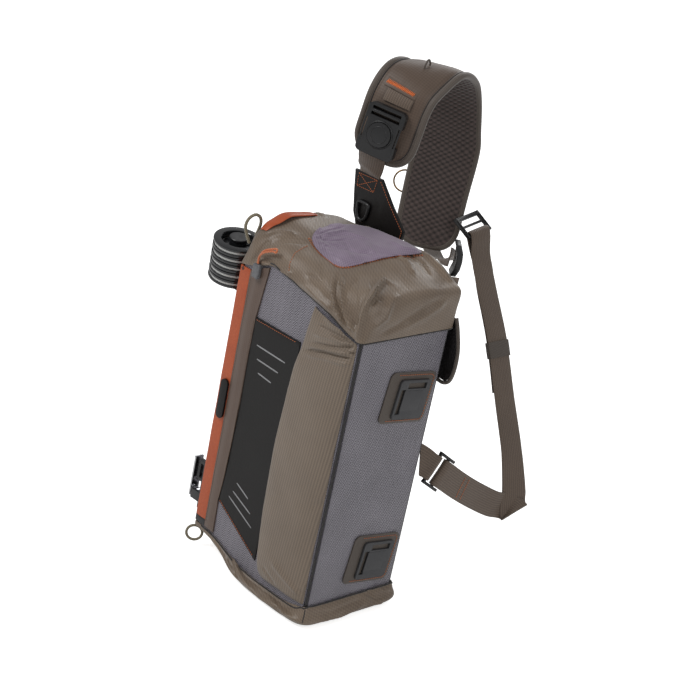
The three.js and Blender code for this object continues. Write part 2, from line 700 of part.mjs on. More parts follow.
const wingShape = new THREE.Shape();
wingShape.moveTo(105.5, 330);
wingShape.lineTo(118, 330);
wingShape.quadraticCurveTo(127, 340, 126, 366);
wingShape.quadraticCurveTo(123, 396, 112, 414);
wingShape.lineTo(105.5, 414);
add('back_wing', onFront(wingShape, 83, 87), 'blackPanel');
const bindingRoute = [
  [106, 326.6],
  [117, 326.2],
  [127, 333],
  [131, 352],
  [129.5, 376],
  [122, 400],
  [115, 415],
].map(([x, z]) => point(x, 85, z));
add('back_wing_binding', cord(bindingRoute, 2.6, 6, 14), 'webbing');

// Frames along a course: where its middle runs, the way across it and the way out of its face
function course(rows) {
  const curve = new THREE.CatmullRomCurve3(rows.map((row) => point(...row.at)), false, 'centripetal');
  const last = rows.length - 1;
  return (s) => {
    const high = Math.min(Math.max(rows.findIndex((row) => row.s > s), 1), last);
    const next = s >= rows[last].s ? last : high;
    const share = (s - rows[next - 1].s) / (rows[next].s - rows[next - 1].s);
    const t = (next - 1 + share) / last;
    const turn = radians(mix(rows[next - 1].turn, rows[next].turn, share));
    const along = curve.getTangent(t);
    const across = point(Math.cos(turn), Math.sin(turn), 0);
    across.addScaledVector(along, -across.dot(along)).normalize();
    return { centre: curve.getPoint(t), along, across, out: across.clone().cross(along) };
  };
}
const placeOn = (frame, w, n) => frame.centre.clone()
  .addScaledVector(frame.across, w)
  .addScaledVector(frame.out, n);

// Strip of webbing through a row of frames
function strip(frames, width, thick) {
  return loft(frames.map((frame) => {
    const half = (frame.width ?? width) / 2;
    const low = -thick / 2;
    return [[-half, low], [half, low], [half, -low], [-half, -low]].map(([w, n]) => placeOn(frame, w, n));
  }));
}

// A solid drawn in the frame's own axes: x across it, y along it, z out of its face
function setOn(frame, geometry) {
  const { centre, across, out } = frame;
  const matrix = new THREE.Matrix4().makeBasis(across, out.clone().cross(across), out);
  return geometry.applyMatrix4(matrix.setPosition(centre));
}

// Shoulder pad: a loop from the top of the bag, over the shoulder and down behind it
const PAD_COURSE = [
  { s: -8, at: [-64, 78.5, 562], turn: 22, width: 88 },
  { s: 35, at: [-59, 81, 604], turn: 25, width: 88 },
  { s: 78, at: [-57, 88, 645], turn: 28, width: 88 },
  { s: 112, at: [-57, 106, 669], turn: 36, width: 88 },
  { s: 155, at: [-62, 146, 680], turn: 42, width: 90 },
  { s: 198, at: [-74, 182, 660], turn: 42, width: 92 },
  { s: 238, at: [-83, 206, 631], turn: 42, width: 92 },
  { s: 290, at: [-86, 222, 588], turn: 42, width: 92 },
  { s: 319, at: [-86, 229, 559], turn: 42, width: 92 },
  { s: 376, at: [-85, 226, 503], turn: 42, width: 90 },
  { s: 429, at: [-78, 217, 451], turn: 42, width: 88 },
  { s: 456, at: [-72, 208, 427], turn: 42, width: 85 },
];
const padFrame = course(PAD_COURSE);
const PAD_ENDS = { from: PAD_COURSE[0].s, to: PAD_COURSE[PAD_COURSE.length - 1].s };

function padHalf(s, inset) {
  const radius = PAD.endRadius - inset;
  const toEnd = Math.min(s - PAD_ENDS.from, PAD_ENDS.to - s) - inset;
  const half = column(PAD_COURSE, 's', 'width', s) / 2 - inset;
  if (toEnd >= radius) return half;
  return half - radius + Math.sqrt(Math.max(radius ** 2 - (radius - toEnd) ** 2, 0));
}

// Lengths along the pad with the turn of its outline there: 0 across an end, 90 along a side
function padRows(inset, middle) {
  const radius = PAD.endRadius - inset;
  const turns = [0, 25, 50, 90];
  const reach = (turn) => radius * (1 - Math.cos(radians(turn))) + inset;
  const low = turns.map((turn) => ({ s: PAD_ENDS.from + reach(turn), turn, end: -1 }));
  const high = turns.map((turn) => ({ s: PAD_ENDS.to - reach(turn), turn, end: 1 })).reverse();
  const between = steps(middle).slice(1, -1)
    .map((t) => ({ s: mix(low[3].s, high[0].s, t), turn: 90, end: 0 }));
  return [...low, ...between, ...high];
}
const PAD_INSET = PAD.binding * 2 + GAP + 0.2;
const PAD_ROWS = padRows(PAD_INSET, 14);
const PAD_ACROSS = [-1, -0.8, -0.35, 0.35, 0.8, 1];

function padSheet(low, high) {
  const at = (u, s, n) => placeOn(padFrame(s), u * padHalf(s, PAD_INSET), n);
  const lengths = PAD_ROWS.map((row) => row.s);
  return panel(PAD_ACROSS, lengths, (u, s) => at(u, s, high(u)), (u, s) => at(u, s, low));
}
const padCrown = (u) => 4.5 + (PAD.fabric - 4.5) * (1 - Math.abs(u) ** 3);
add('shoulder_pad', padSheet(0, padCrown), 'strapFabric');
add('pad_lining', padSheet(-GAP - PAD.lining, () => -GAP), 'lining');

// Binding: a round tape just outside the edge of the pad
function bindingRing({ s, turn, end }, side) {
  const frame = padFrame(s);
  const outward = frame.across.clone().multiplyScalar(side * Math.sin(radians(turn)))
    .addScaledVector(frame.along, end * Math.cos(radians(turn)));
  const centre = placeOn(frame, side * padHalf(s, PAD_INSET), 1.4)
    .addScaledVector(outward, PAD.binding + GAP + 0.2);
  return steps(6).slice(0, -1).map((t) => centre.clone()
    .addScaledVector(outward, PAD.binding * Math.cos(2 * Math.PI * t))
    .addScaledVector(frame.out, PAD.binding * Math.sin(2 * Math.PI * t)));
}
add('pad_binding', loft([
  ...PAD_ROWS.map((row) => bindingRing(row, -1)),
  ...PAD_ROWS.map((row) => bindingRing(row, 1)).reverse(),
], true), 'strapFabric');

// Webbing patch and pull loop on the outer face of the pad
const padFace = (s, w, lift) => {
  const frame = padFrame(s);
  return { ...frame, centre: placeOn(frame, w, padCrown(w / 40) + lift) };
};
const padWebbing = [69, 76, 83].map((s) => padFace(s, 0, GAP + WEBBING.thick / 2 + 0.4));
add('pad_webbing', strip(padWebbing, WEBBING.width, WEBBING.thick), 'webbing');
const topLoop = padFace(135, 0, -1.2);
const loopRoute = [[-5, 1.4], [-4, 7], [0, 10.8], [4, 7], [5, 1.4]]
  .map(([y, z]) => placeOn(topLoop, 0, z).addScaledVector(topLoop.along, y));
add('pad_top_loop', cord(loopRoute, 1.1, 6, 8), 'webbing');

// Thin ring at the left edge of the far limb
const PAD_RING = { s: 375, radius: 15, wire: 1.3 };
const ringFrame = padFrame(PAD_RING.s);
const ring = new THREE.TorusGeometry(PAD_RING.radius, PAD_RING.wire, 5, 16);
const ringPlace = placeOn(ringFrame, -padHalf(PAD_RING.s, 0) + 1, PAD.fabric - 0.4);
add('pad_ring', setOn({ ...ringFrame, centre: ringPlace }, ring), 'bronze');

// Black patch that rises from the back of the bag, and the webbing from it to the buckle on the pad
const strapPatch = outlineShape([
  { across: -74, z: 440 },
  { across: -6, z: 440 },
  { across: -1, z: 486 },
  { across: -30, z: 512 },
  { across: -56, z: 538 },
  { across: -106, z: 536 },
  { across: -101, z: 510 },
  { across: -95, z: 482 },
]);
const PATCH_FACE = { near: 82.9, far: 87 };
add('strap_patch', onFront(strapPatch, PATCH_FACE.near, PATCH_FACE.far), 'blackPanel');

const ANCHOR_WEBBING = [
  { s: 0, at: [-80, 81, 518], turn: 0 },
  { s: 18, at: [-79, 79.8, 536], turn: 2 },
  { s: 36, at: [-72.5, 74, 552], turn: 12 },
  { s: 55, at: [-63.3, 63.2, 569.3], turn: 22 },
];
const anchorFrame = course(ANCHOR_WEBBING);
const anchorRows = steps(6).map((t) => anchorFrame(t * 55));
add('anchor_webbing', strip(anchorRows, WEBBING.width, WEBBING.thick), 'webbing');

// D-shaped ring on the patch
const D_RING = { width: 20, height: 25, wire: 2, x: -77, y: 80.5, z: 488 };
const dRoute = [[-9, 13], [9, 13], [12, 8], [9, -9], [0, -15], [-9, -9], [-12, 8]]
  .map(([x, z]) => point(D_RING.x + (x * D_RING.width) / 24, D_RING.y, D_RING.z + (z * D_RING.height) / 30));
add('d_ring', cord(dRoute, D_RING.wire, 6, 16, true), 'hardPlastic');

// Side-release buckle on the outer face of the pad
const PAD_BUCKLE = { width: 52, length: 66, thick: 11, button: 16, across: -5, s: 33 };
const buckleFrame = padFace(PAD_BUCKLE.s, PAD_BUCKLE.across, 0.4);
const buckleShell = new THREE.ExtrudeGeometry(
  roundedRect(PAD_BUCKLE.width, PAD_BUCKLE.length, 7),
  { depth: PAD_BUCKLE.thick, ...FLAT },
);
const buckleButton = new THREE.CylinderGeometry(PAD_BUCKLE.button, PAD_BUCKLE.button, 3, 20)
  .rotateX(Math.PI / 2)
  .translate(0, -4, PAD_BUCKLE.thick + 1);
const buckleSlots = [19, 27].map((y) => block([-20, y - 2, -1], [20, y + 2, PAD_BUCKLE.thick + 1]));
const buckleRelief = [-1, 1].map((side) => block(
  [side * 26 - 4, -14, -1],
  [side * 26 + 4, 12, PAD_BUCKLE.thick + 1],
));
add('pad_buckle', setOn(
  buckleFrame,
  cut(joined(buckleShell, buckleButton), ...buckleSlots, ...buckleRelief),
), 'hardPlastic');

// Main webbing. It turns round the bar of the lock, hangs down, folds over and runs to the lower buckle.
const BAR = 4;
const LOCK_BAR = { at: [-23, 258, 463], along: [-0.062, 0.982, 0.17] };
const HANGING = [
  { s: 0, at: [-17, 258, 448], turn: 90 },
  { s: 65, at: [15, 259, 392], turn: 90 },
  { s: 134, at: [49, 263, 332], turn: 89 },
  { s: 217, at: [86, 263, 258], turn: 87 },
  { s: 288, at: [116, 266, 194], turn: 84 },
  { s: 350, at: [138, 266, 138], turn: 70 },
  { s: 374, at: [145, 265, 114], turn: 64 },
];
const hangingFrame = course(HANGING);
const TAIL = [
  { s: 205, lift: 5.5, shift: 2.5 },
  { s: 166, lift: 3, shift: 0.4 },
  { s: 130, lift: 2.7, shift: 0.4 },
  { s: 100, lift: 4.5, shift: 3 },
  { s: 65, lift: 7, shift: 6 },
  { s: 30, lift: 4.5, shift: 5 },
  { s: 8, lift: 2.8, shift: 1 },
];
const tailFrames = TAIL.map(({ s, lift, shift }) => {
  const frame = hangingFrame(s);
  return { ...frame, centre: placeOn(frame, shift, lift) };
});

// Half turn of a strip about an axis. Its face turns out from the axis or in to it.
function halfTurn(centre, axis, from, radius, angles, facing) {
  return angles.map((angle) => {
    const away = from.clone().applyAxisAngle(axis, radians(angle));
    return {
      centre: centre.clone().addScaledVector(away, radius),
      across: axis.clone(),
      out: away.clone().multiplyScalar(facing),
    };
  });
}
const crosswise = (way, axis) => way.clone().addScaledVector(axis, -way.dot(axis)).normalize();
const BAR_TURN = BAR * 0.71 + WEBBING.thick / 2 + GAP + 0.2;

const lockAxis = point(...LOCK_BAR.along).normalize();
const lockCentre = point(...LOCK_BAR.at);
const lockFrom = crosswise(hangingFrame(0).out, lockAxis);
const lockTurn = halfTurn(lockCentre, lockAxis, lockFrom, BAR_TURN, [0, 45, 90, 135, 180], 1);
const hangingFrames = [16, 65, 100, 134, 175, 217, 252, 288, 320, 346].map((s) => {
  const frame = hangingFrame(s);
  return { ...frame, centre: placeOn(frame, 0, -0.4), out: frame.out.clone().negate() };
});

// Diagonal fold at the bottom of the hanging strand
const FOLD = { slant: 20, radius: 1.7 };
const foldEnd = hangingFrame(374);
const foldAlong = foldEnd.across.clone().multiplyScalar(WEBBING.width)
  .addScaledVector(foldEnd.along, -FOLD.slant);
const foldWidth = foldAlong.length();
const foldAxis = foldAlong.clone().normalize();
const foldAway = crosswise(foldEnd.out, foldAxis);
const foldCentre = foldEnd.centre.clone().addScaledVector(foldAway, -FOLD.radius);
const foldFrames = halfTurn(foldCentre, foldAxis, foldAway, FOLD.radius, [0, -60, -120, -180], -1)
  .map((frame) => ({ ...frame, width: foldWidth }));

// Strand from the fold to the lower buckle: places and the way up its width
const RISING = [
  { at: [136.8, 257.5, 118.5], up: [0.01, 0.55, 0.835] },
  { at: [133.5, 232, 126], up: [0, 0.35, 0.94] },
  { at: [131, 200, 141.5], up: [0, 0.42, 0.91] },
  { at: [130, 168, 159], up: [0, 0.48, 0.88] },
  { at: [128.5, 140, 176], up: [0, 0.52, 0.85] },
  { at: [127.5, 124, 186.5], up: [0, 0.54, 0.84] },
];
const risingEnd = point(-0.083, -0.84, 0.537).normalize();
const risingFrames = RISING.map((row, k) => {
  const centre = point(...row.at);
  const before = k > 0 ? point(...RISING[k - 1].at) : foldFrames[3].centre;
  const after = k < RISING.length - 1 ? point(...RISING[k + 1].at) : centre.clone().add(risingEnd);
  const along = after.sub(before).normalize();
  const across = crosswise(point(...row.up), along);
  return { centre, along, across, out: along.clone().cross(across) };
});
const lastRising = risingFrames[risingFrames.length - 1];
const buckleBar = lastRising.centre.clone()
  .addScaledVector(risingEnd, 10)
  .addScaledVector(lastRising.out, BAR_TURN);
const lowerTurn = halfTurn(
  buckleBar,
  lastRising.across,
  lastRising.out.clone().negate(),
  BAR_TURN,
  [0, -45, -90, -135, -180],
  -1,
);
const returnEnd = [{ lift: 4, reach: -2 }, { lift: 2.9, reach: -10 }].map(({ lift, reach }) => ({
  centre: placeOn(lastRising, 0, lift).addScaledVector(risingEnd, reach),
  across: lastRising.across,
  out: lastRising.out.clone().negate(),
}));
const webbingFrames = [
  ...tailFrames,
  ...lockTurn,
  ...hangingFrames,
  ...foldFrames,
  ...risingFrames,
  ...lowerTurn,
  ...returnEnd,
];
add('main_webbing', strip(webbingFrames, WEBBING.width, WEBBING.thick), 'webbing');

// Keeper round the hanging strand and its tail
const KEEPER = { s: 147, length: 22, wall: 1.6, half: WEBBING.width / 2 + 0.8, low: -2.1, high: 4.6 };
const keeperHalf = KEEPER.length / 2;
const keeperHole = block(
  [-KEEPER.half, -keeperHalf - 1, KEEPER.low],
  [KEEPER.half, keeperHalf + 1, KEEPER.high],
);
const keeperBand = block(
  [-KEEPER.half - KEEPER.wall, -keeperHalf, KEEPER.low - KEEPER.wall],
  [KEEPER.half + KEEPER.wall, keeperHalf, KEEPER.high + KEEPER.wall],
);
add('webbing_keeper', setOn(hangingFrame(KEEPER.s), cut(keeperBand, keeperHole)), 'strapFabric');

// Hard frames that the webbing turns round: two rails and the bars between them
const RAIL = { inside: WEBBING.width / 2 + 1, wide: 4, thick: 5 };

function barFrame(low, high, bars) {
  const rails = [-1, 1].map((side) => {
    const edges = [side * RAIL.inside, side * (RAIL.inside + RAIL.wide)].sort((a, b) => a - b);
    return block([edges[0], low, -RAIL.thick / 2], [edges[1], high, RAIL.thick / 2]);
  });
  const across = bars.map(({ y, deep }) => block(
    [-RAIL.inside - 1, y - deep / 2, -BAR / 2],
    [RAIL.inside + 1, y + deep / 2, BAR / 2],
  ));
  return joined(...rails, ...across);
}
const padEdge = placeOn(padFrame(399), padHalf(399, 0), 0);
const lockWay = crosswise(padEdge.clone().sub(lockCentre), lockAxis);
const lockBasis = { centre: lockCentre, across: lockAxis, out: lockAxis.clone().cross(lockWay) };
const lockReach = padEdge.distanceTo(lockCentre) - 2;
add('lock', setOn(lockBasis, barFrame(-4, lockReach, [
  { y: 0, deep: BAR },
  { y: 13, deep: 3 },
  { y: lockReach - 3, deep: 6 },
])), 'hardPlastic');

const LOWER_BUCKLE = { low: -12, bagBar: 19 };
const buckleBasis = {
  centre: buckleBar,
  across: lastRising.across,
  out: lastRising.across.clone().cross(risingEnd),
};
add('lower_buckle', setOn(buckleBasis, barFrame(LOWER_BUCKLE.low, LOWER_BUCKLE.bagBar + 2, [
  { y: 0, deep: BAR },
  { y: LOWER_BUCKLE.bagBar, deep: BAR },
])), 'hardPlastic');

// Short webbing from the lower buckle to the back edge of the bag
const bagBar = buckleBar.clone().addScaledVector(risingEnd, LOWER_BUCKLE.bagBar);
const bagAcross = lastRising.across;
const toBag = crosswise(point(112.4, 80.8, 212).sub(bagBar), bagAcross);
const bagReach = (80.8 - bagBar.y) / toBag.y;
const bagOut = bagAcross.clone().cross(toBag);
const bagTurn = halfTurn(bagBar, bagAcross, bagOut.clone().negate(), BAR_TURN, [0, -45, -90, -135, -180], 1);
const slant = bagAcross.clone().addScaledVector(toBag, -bagAcross.y / toBag.y);
const strandAt = (reach, lift) => ({
  centre: bagBar.clone().addScaledVector(toBag, reach).addScaledVector(bagOut, lift),
  across: bagAcross,
  out: bagOut,
});
const shortFrames = [
  { ...strandAt(9, -2.2), out: bagOut.clone().negate() },
  ...bagTurn,
  strandAt(8, 1.4),
  { ...strandAt(bagReach, 0.6), across: slant },
];
add('lower_webbing', strip(shortFrames, WEBBING.width - 2, WEBBING.thick), 'webbing');

// Stabiliser at the top of the back: an anchor, a curved buckle and the webbing to the end of the pad
const STABILISER = { width: 25, thick: 1.6 };
const anchorCourse = course([
  { s: 0, at: [92, 85, 428], turn: 0 },
  { s: 22, at: [90, 85.6, 450], turn: 4 },
  { s: 34, at: [87, 89, 461], turn: 12 },
]);
const anchorPlaces = [0, 11, 22, 27, 33].map(anchorCourse);
add('stabiliser_anchor', strip(anchorPlaces, STABILISER.width, STABILISER.thick), 'webbing');

const SIDE_BUCKLE = { width: 30, thick: 8, bend: [[-1, -21], [2.2, -11], [3.2, 0], [2, 11], [-2, 21]] };
const sideTurn = radians(47);
const sideRings = SIDE_BUCKLE.bend.map(([shift, z]) => {
  const half = SIDE_BUCKLE.width / 2 - Math.max(Math.abs(z) - 15, 0) * 0.4;
  return [[-half, -1], [half, -1], [half, 1], [-half, 1]].map(([across, face]) => {
    const right = shift + (face * SIDE_BUCKLE.thick) / 2;
    return point(
      80 + right * Math.cos(sideTurn) - across * Math.sin(sideTurn),
      100 + right * Math.sin(sideTurn) + across * Math.cos(sideTurn),
      481 + z,
    );
  });
});
add('stabiliser_buckle', loft(sideRings), 'hardPlastic');

const padTip = padFrame(PAD_ENDS.to);
const stabiliserEnd = placeOn(padTip, 14, 1).addScaledVector(padTip.along, 0.6);
const stabiliserCourse = course([
  { s: 0, at: stabiliserEnd.toArray(), turn: 42 },
  { s: 40, at: [-26, 186, 432], turn: 48 },
  { s: 110, at: [30, 140, 456], turn: 60 },
  { s: 160, at: [68.6, 101, 478], turn: 134 },
]);
const stabiliserFrames = steps(8).map((t) => stabiliserCourse(t * 160));
add('stabiliser_webbing', strip(stabiliserFrames, STABILISER.width, STABILISER.thick), 'webbing');

// Tippet spools on a post beside the hood, each free to turn, with its line in the groove
const SPOOL_AXIS = point(0.106, -0.115, 0.988).normalize();
const SPOOL_TOP = point(-154.5, -55, 432);
const spoolTurn = new THREE.Quaternion().setFromUnitVectors(point(0, 0, 1), SPOOL_AXIS);
const alongPost = (geometry, height) => geometry.applyQuaternion(spoolTurn)
  .translate(...SPOOL_TOP.clone().addScaledVector(SPOOL_AXIS, height).toArray());
const turned = (profile, sides) => {
  const outline = profile.map(([r, z]) => new THREE.Vector2(r, z));
  return new THREE.LatheGeometry([...outline, outline[0]], sides).rotateX(Math.PI / 2);
};
const SPOOL_PROFILE = [
  [SPOOL.bore, 0],
  [SPOOL.radius, 0],
  [SPOOL.radius, 3.6],
  [SPOOL.grooveFloor, 3.6],
  [SPOOL.grooveFloor, 7.4],
  [SPOOL.radius, 7.4],
  [SPOOL.radius, SPOOL.height],
  [23, SPOOL.height],
  [22, 1.8],
  [11, 1.8],
  [11, SPOOL.height],
  [SPOOL.bore, SPOOL.height],
];
const LINE_PROFILE = [
  [SPOOL.grooveFloor + GAP + 0.4, 3.9],
  [31.4, 3.9],
  [31.4, 7.1],
  [SPOOL.grooveFloor + GAP + 0.4, 7.1],
];
for (let k = 1; k <= SPOOL.count; k += 1) {
  const foot = -(k - 1) * SPOOL.pitch - SPOOL.height;
  add(`spool_${k}`, alongPost(turned(SPOOL_PROFILE, SPOOL.sides), foot), 'hardPlastic');
  add(`spool_line_${k}`, alongPost(turned(LINE_PROFILE, SPOOL.sides), foot), 'line');
}

const POST = { radius: 8, cap: 12.5, capThick: 3.5 };
const stackFoot = -(SPOOL.count - 1) * SPOOL.pitch - SPOOL.height;
const disc = (radius, low, high) => alongPost(
  new THREE.CylinderGeometry(radius, radius, high - low, 16).rotateX(Math.PI / 2),
  (low + high) / 2,
);
const BRACKET = { near: -52, far: -24, low: 343, high: 372, thick: 3 };
const armEnd = SPOOL_TOP.clone().addScaledVector(SPOOL_AXIS, stackFoot - 3.4);
const bracketPlate = block(
  [BAG.left - GAP - BRACKET.thick, BRACKET.near, BRACKET.low],
  [BAG.left - GAP, BRACKET.far, BRACKET.high],
);
const bracketArm = block(
  [armEnd.x, armEnd.y - 7, armEnd.z - 8],
  [BAG.left - GAP - 1, armEnd.y + 7, armEnd.z - 1],
);
add('spool_holder', joined(
  disc(POST.radius, stackFoot - 2, -GAP),
  disc(POST.cap, stackFoot - 4.6, stackFoot - 0.4),
  bracketArm,
  bracketPlate,
), 'hardPlastic');
add('spool_cap', disc(POST.cap, 0.6, POST.capThick), 'hardPlastic');

// Tool clip low on the left side: a base with a bar, and a chromed lever on a pin
const CLIP = { near: -78, far: -58, face: -119.6, pin: { x: -133, z: 73, radius: 1.8 } };
const clipPin = (radius, near, far) => new THREE.CylinderGeometry(radius, radius, far - near, 12)
  .translate(CLIP.pin.x, (near + far) / 2, CLIP.pin.z);
add('clip_base', joined(
  block([CLIP.face, CLIP.near, 58], [CLIP.face + 2.6, CLIP.far, 124]),
  block([-136, CLIP.near, 66], [CLIP.face + 1, CLIP.near + 4, 80]),
  block([-136, CLIP.far - 4, 66], [CLIP.face + 1, CLIP.far, 80]),
  block([-137, -71.5, 92], [CLIP.face + 1, -64.5, 97]),
  block([-137, -71.5, 117], [CLIP.face + 1, -64.5, 122]),
  block([-137, -71.5, 92], [-132, -64.5, 122]),
  clipPin(CLIP.pin.radius, CLIP.near + 1, CLIP.far - 1),
), 'hardPlastic');
const leverPlate = block([-143, -75, 66], [-140.5, -61, 124]);
const leverWeb = block([-141, -73.5, 69], [-133, -62.5, 77]);
add('clip_lever', cut(
  joined(leverPlate, leverWeb, clipPin(5, -73.5, -62.5)),
  clipPin(CLIP.pin.radius + 0.35, -80, -56),
), 'chrome');

// Cord loops at the two ends of the zip band, the pull cord and the clear grip beside it
const topLoopRoute = [
  [-114.2, -74.3, 446],
  [-115.6, -76.5, 457],
  [-115.5, -75.5, 468],
  [-113.5, -71, 473],
  [-115, -65, 467],
  [-118.4, -64, 452],
];
add('cord_loop_top', cord(topLoopRoute.map((place) => point(...place)), 2, 6, 14), 'cord');
const footLoop = steps(10).slice(0, -1).map((t) => {
  const turn = 2 * Math.PI * t;
  return point(-116.5 + 6.3 * Math.cos(turn), -74.5 + 5.8 * Math.cos(turn), 22 + 8.5 * Math.sin(turn));
});
add('cord_loop_foot', cord(footLoop, 1.8, 6, 14, true), 'cord');
const pullRoute = [[-79, -86.2, 430.6], [-78.5, -87, 440], [-70, -88, 449], [-58, -86, 455]];
add('pull_cord', cord(pullRoute.map((place) => point(...place)), 1.6, 6, 12), 'orange');
add('zip_grip', block([-85, -90, 411], [-73, -83, 430]), 'grip');

export default group;
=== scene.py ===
import math

import bmesh
import bpy
import numpy as np
from mathutils import Matrix, Vector, noise
from mathutils.bvhtree import BVHTree


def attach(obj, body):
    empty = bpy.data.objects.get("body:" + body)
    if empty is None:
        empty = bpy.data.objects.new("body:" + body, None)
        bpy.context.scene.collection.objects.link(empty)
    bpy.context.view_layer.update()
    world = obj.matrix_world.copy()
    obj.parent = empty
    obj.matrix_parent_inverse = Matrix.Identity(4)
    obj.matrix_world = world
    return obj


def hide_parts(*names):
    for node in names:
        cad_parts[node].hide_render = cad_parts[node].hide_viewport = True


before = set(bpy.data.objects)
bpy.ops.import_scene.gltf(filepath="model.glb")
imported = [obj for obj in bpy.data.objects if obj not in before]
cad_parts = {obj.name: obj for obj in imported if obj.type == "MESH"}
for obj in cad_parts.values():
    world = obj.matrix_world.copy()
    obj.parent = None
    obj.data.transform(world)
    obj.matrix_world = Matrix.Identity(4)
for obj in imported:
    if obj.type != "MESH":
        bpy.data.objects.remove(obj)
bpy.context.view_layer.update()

bpy.ops.object.select_all(action="DESELECT")

# Studio: a sheet of white paper as the floor, a large soft box in front and above, two weaker
# ones at the side and behind, and a long lens that is tilted and rolled as in the photograph.
EYE = Vector((1.4995, -1.6256, 1.2147))
ROLL = math.radians(11.7)
TILT = math.radians(24.0)
FOCAL_PX, CENTRE_PX, IMAGE_PX = 1850.0, (319.9, 421.6), 700.0
SENSOR_MM = 36.0
FLOOR_GLOW, SKY_LIGHT, FLOOR_SIZE = 0.72, 0.36, 60

level_right = Vector((0.735, 0.678, 0)).normalized()
level_away = Vector((-0.678, 0.735, 0)).normalized()
ahead = level_away * math.cos(TILT) - Vector((0, 0, 1)) * math.sin(TILT)
level_up = level_away * math.sin(TILT) + Vector((0, 0, 1)) * math.cos(TILT)
image_up = level_up * math.cos(ROLL) - level_right * math.sin(ROLL)
image_right = level_right * math.cos(ROLL) + level_up * math.sin(ROLL)

camera = bpy.data.objects.new("camera", bpy.data.cameras.new("camera"))
bpy.context.scene.collection.objects.link(camera)
camera.data.sensor_width = SENSOR_MM
camera.data.lens = FOCAL_PX / IMAGE_PX * SENSOR_MM
camera.data.shift_x = 0.5 - CENTRE_PX[0] / IMAGE_PX
camera.data.shift_y = CENTRE_PX[1] / IMAGE_PX - 0.5
camera.matrix_world = Matrix((image_right, image_up, -ahead)).transposed().to_4x4()
camera.location = EYE
bpy.context.scene.camera = camera


def linear(colour):
    """An sRGB hex value as the linear colour that the shaders take."""
    parts = [(colour >> shift & 255) / 255 for shift in (16, 8, 0)]
    return [p / 12.92 if p <= 0.04045 else ((p + 0.055) / 1.055) ** 2.4 for p in parts] + [1.0]


def add_node(tree, kind, inputs, **settings):
    """A shader node with its settings, and its inputs linked or set."""
    made = tree.nodes.new("ShaderNode" + kind)
    for name, value in settings.items():
        setattr(made, name, value)
    for socket, value in inputs.items():
        if isinstance(value, bpy.types.NodeSocket):
            tree.links.new(value, made.inputs[socket])
        else:
            made.inputs[socket].default_value = value
    return made


def blank_material(name, **shader):
    """A material with one Principled shader, its constant values on the shader's own sockets."""
    made = bpy.data.materials.new(name)
    made.use_nodes = True
    bsdf = made.node_tree.nodes["Principled BSDF"]
    for socket, value in shader.items():
        bsdf.inputs[socket.replace("_", " ")].default_value = value
    return made, made.node_tree, bsdf


# Matt white paper with a fine tooth. It glows a little to the lens alone, so that it looks
# pure white there and throws no more light on the bag.
paper, tree, bsdf = blank_material("white_paper_floor", Base_Color=linear(0xF7F7F6), Roughness=0.9)
grain = add_node(tree, "TexNoise", {"Scale": 900.0, "Detail": 2.0})
tooth = add_node(tree, "Bump", {"Height": grain.outputs[0], "Strength": 0.02})
tree.links.new(tooth.outputs[0], bsdf.inputs["Normal"])
seen = add_node(tree, "LightPath", {})
glow = add_node(tree, "Math", {0: seen.outputs["Is Camera Ray"], 1: FLOOR_GLOW}, operation="MULTIPLY")
tree.links.new(glow.outputs[0], bsdf.inputs["Emission Strength"])
bsdf.inputs["Emission Color"].default_value = (1, 1, 1, 1)
bpy.ops.mesh.primitive_plane_add(size=FLOOR_SIZE, location=(0, 0, 0))
floor = bpy.context.object
floor.name = "floor"
floor.data.materials.append(paper)
floor.select_set(False)


def softbox(name, place, size, watts, aim=(0, 0, 0.28)):
    """A square soft box that faces the middle of the bag."""
    lamp = bpy.data.objects.new(name, bpy.data.lights.new(name, "AREA"))
    bpy.context.scene.collection.objects.link(lamp)
    lamp.data.size = size
    lamp.data.energy = watts
    lamp.location = place
    lamp.rotation_euler = (Vector(aim) - Vector(place)).to_track_quat("-Z", "Y").to_euler()


softbox("key_light", (-0.9, -2.3, 2.9), 1.3, 56)
softbox("side_light", (2.6, -0.2, 1.9), 1.4, 17)
softbox("back_light", (-1.2, 2.4, 2.2), 1.6, 24)
world = bpy.data.worlds.new("studio")
world.use_nodes = True
background = world.node_tree.nodes["Background"]
background.inputs["Color"].default_value = (1, 1, 1, 1)
seen = add_node(world.node_tree, "LightPath", {})
sky = add_node(world.node_tree, "Math", {0: seen.outputs["Is Camera Ray"], 1: 1 - SKY_LIGHT, 2: SKY_LIGHT},
               operation="MULTIPLY_ADD")
world.node_tree.links.new(sky.outputs[0], background.inputs["Strength"])
bpy.context.scene.world = world
bpy.context.scene.view_settings.view_transform = "Standard"

# Grey walls: coated herringbone mesh laminated to thin foam, cut flat and sewn into the
# seams of the box. They stand nearly flat, with a slight swell between the seams.
MM = 0.001


def mm(*values):
    """A place in metres from its values in mm."""
    return Vector(values) * MM


def new_piece(name, points, faces, uvs=None):
    """A closed mesh object from points in metres, its faces turned out."""
    mesh = bpy.data.meshes.new(name)
    mesh.from_pydata([tuple(p) for p in points], [], faces)
    if uvs is not None:
        layer = mesh.uv_layers.new(name="UVMap")
        for loop in mesh.loops:
            layer.data[loop.index].uv = uvs[loop.vertex_index]
    piece = bpy.data.objects.new(name, mesh)
    bpy.context.scene.collection.objects.link(piece)
    shell = bmesh.new()
    shell.from_mesh(mesh)
    bmesh.ops.recalc_face_normals(shell, faces=shell.faces)
    shell.to_mesh(mesh)
    shell.free()
    return piece


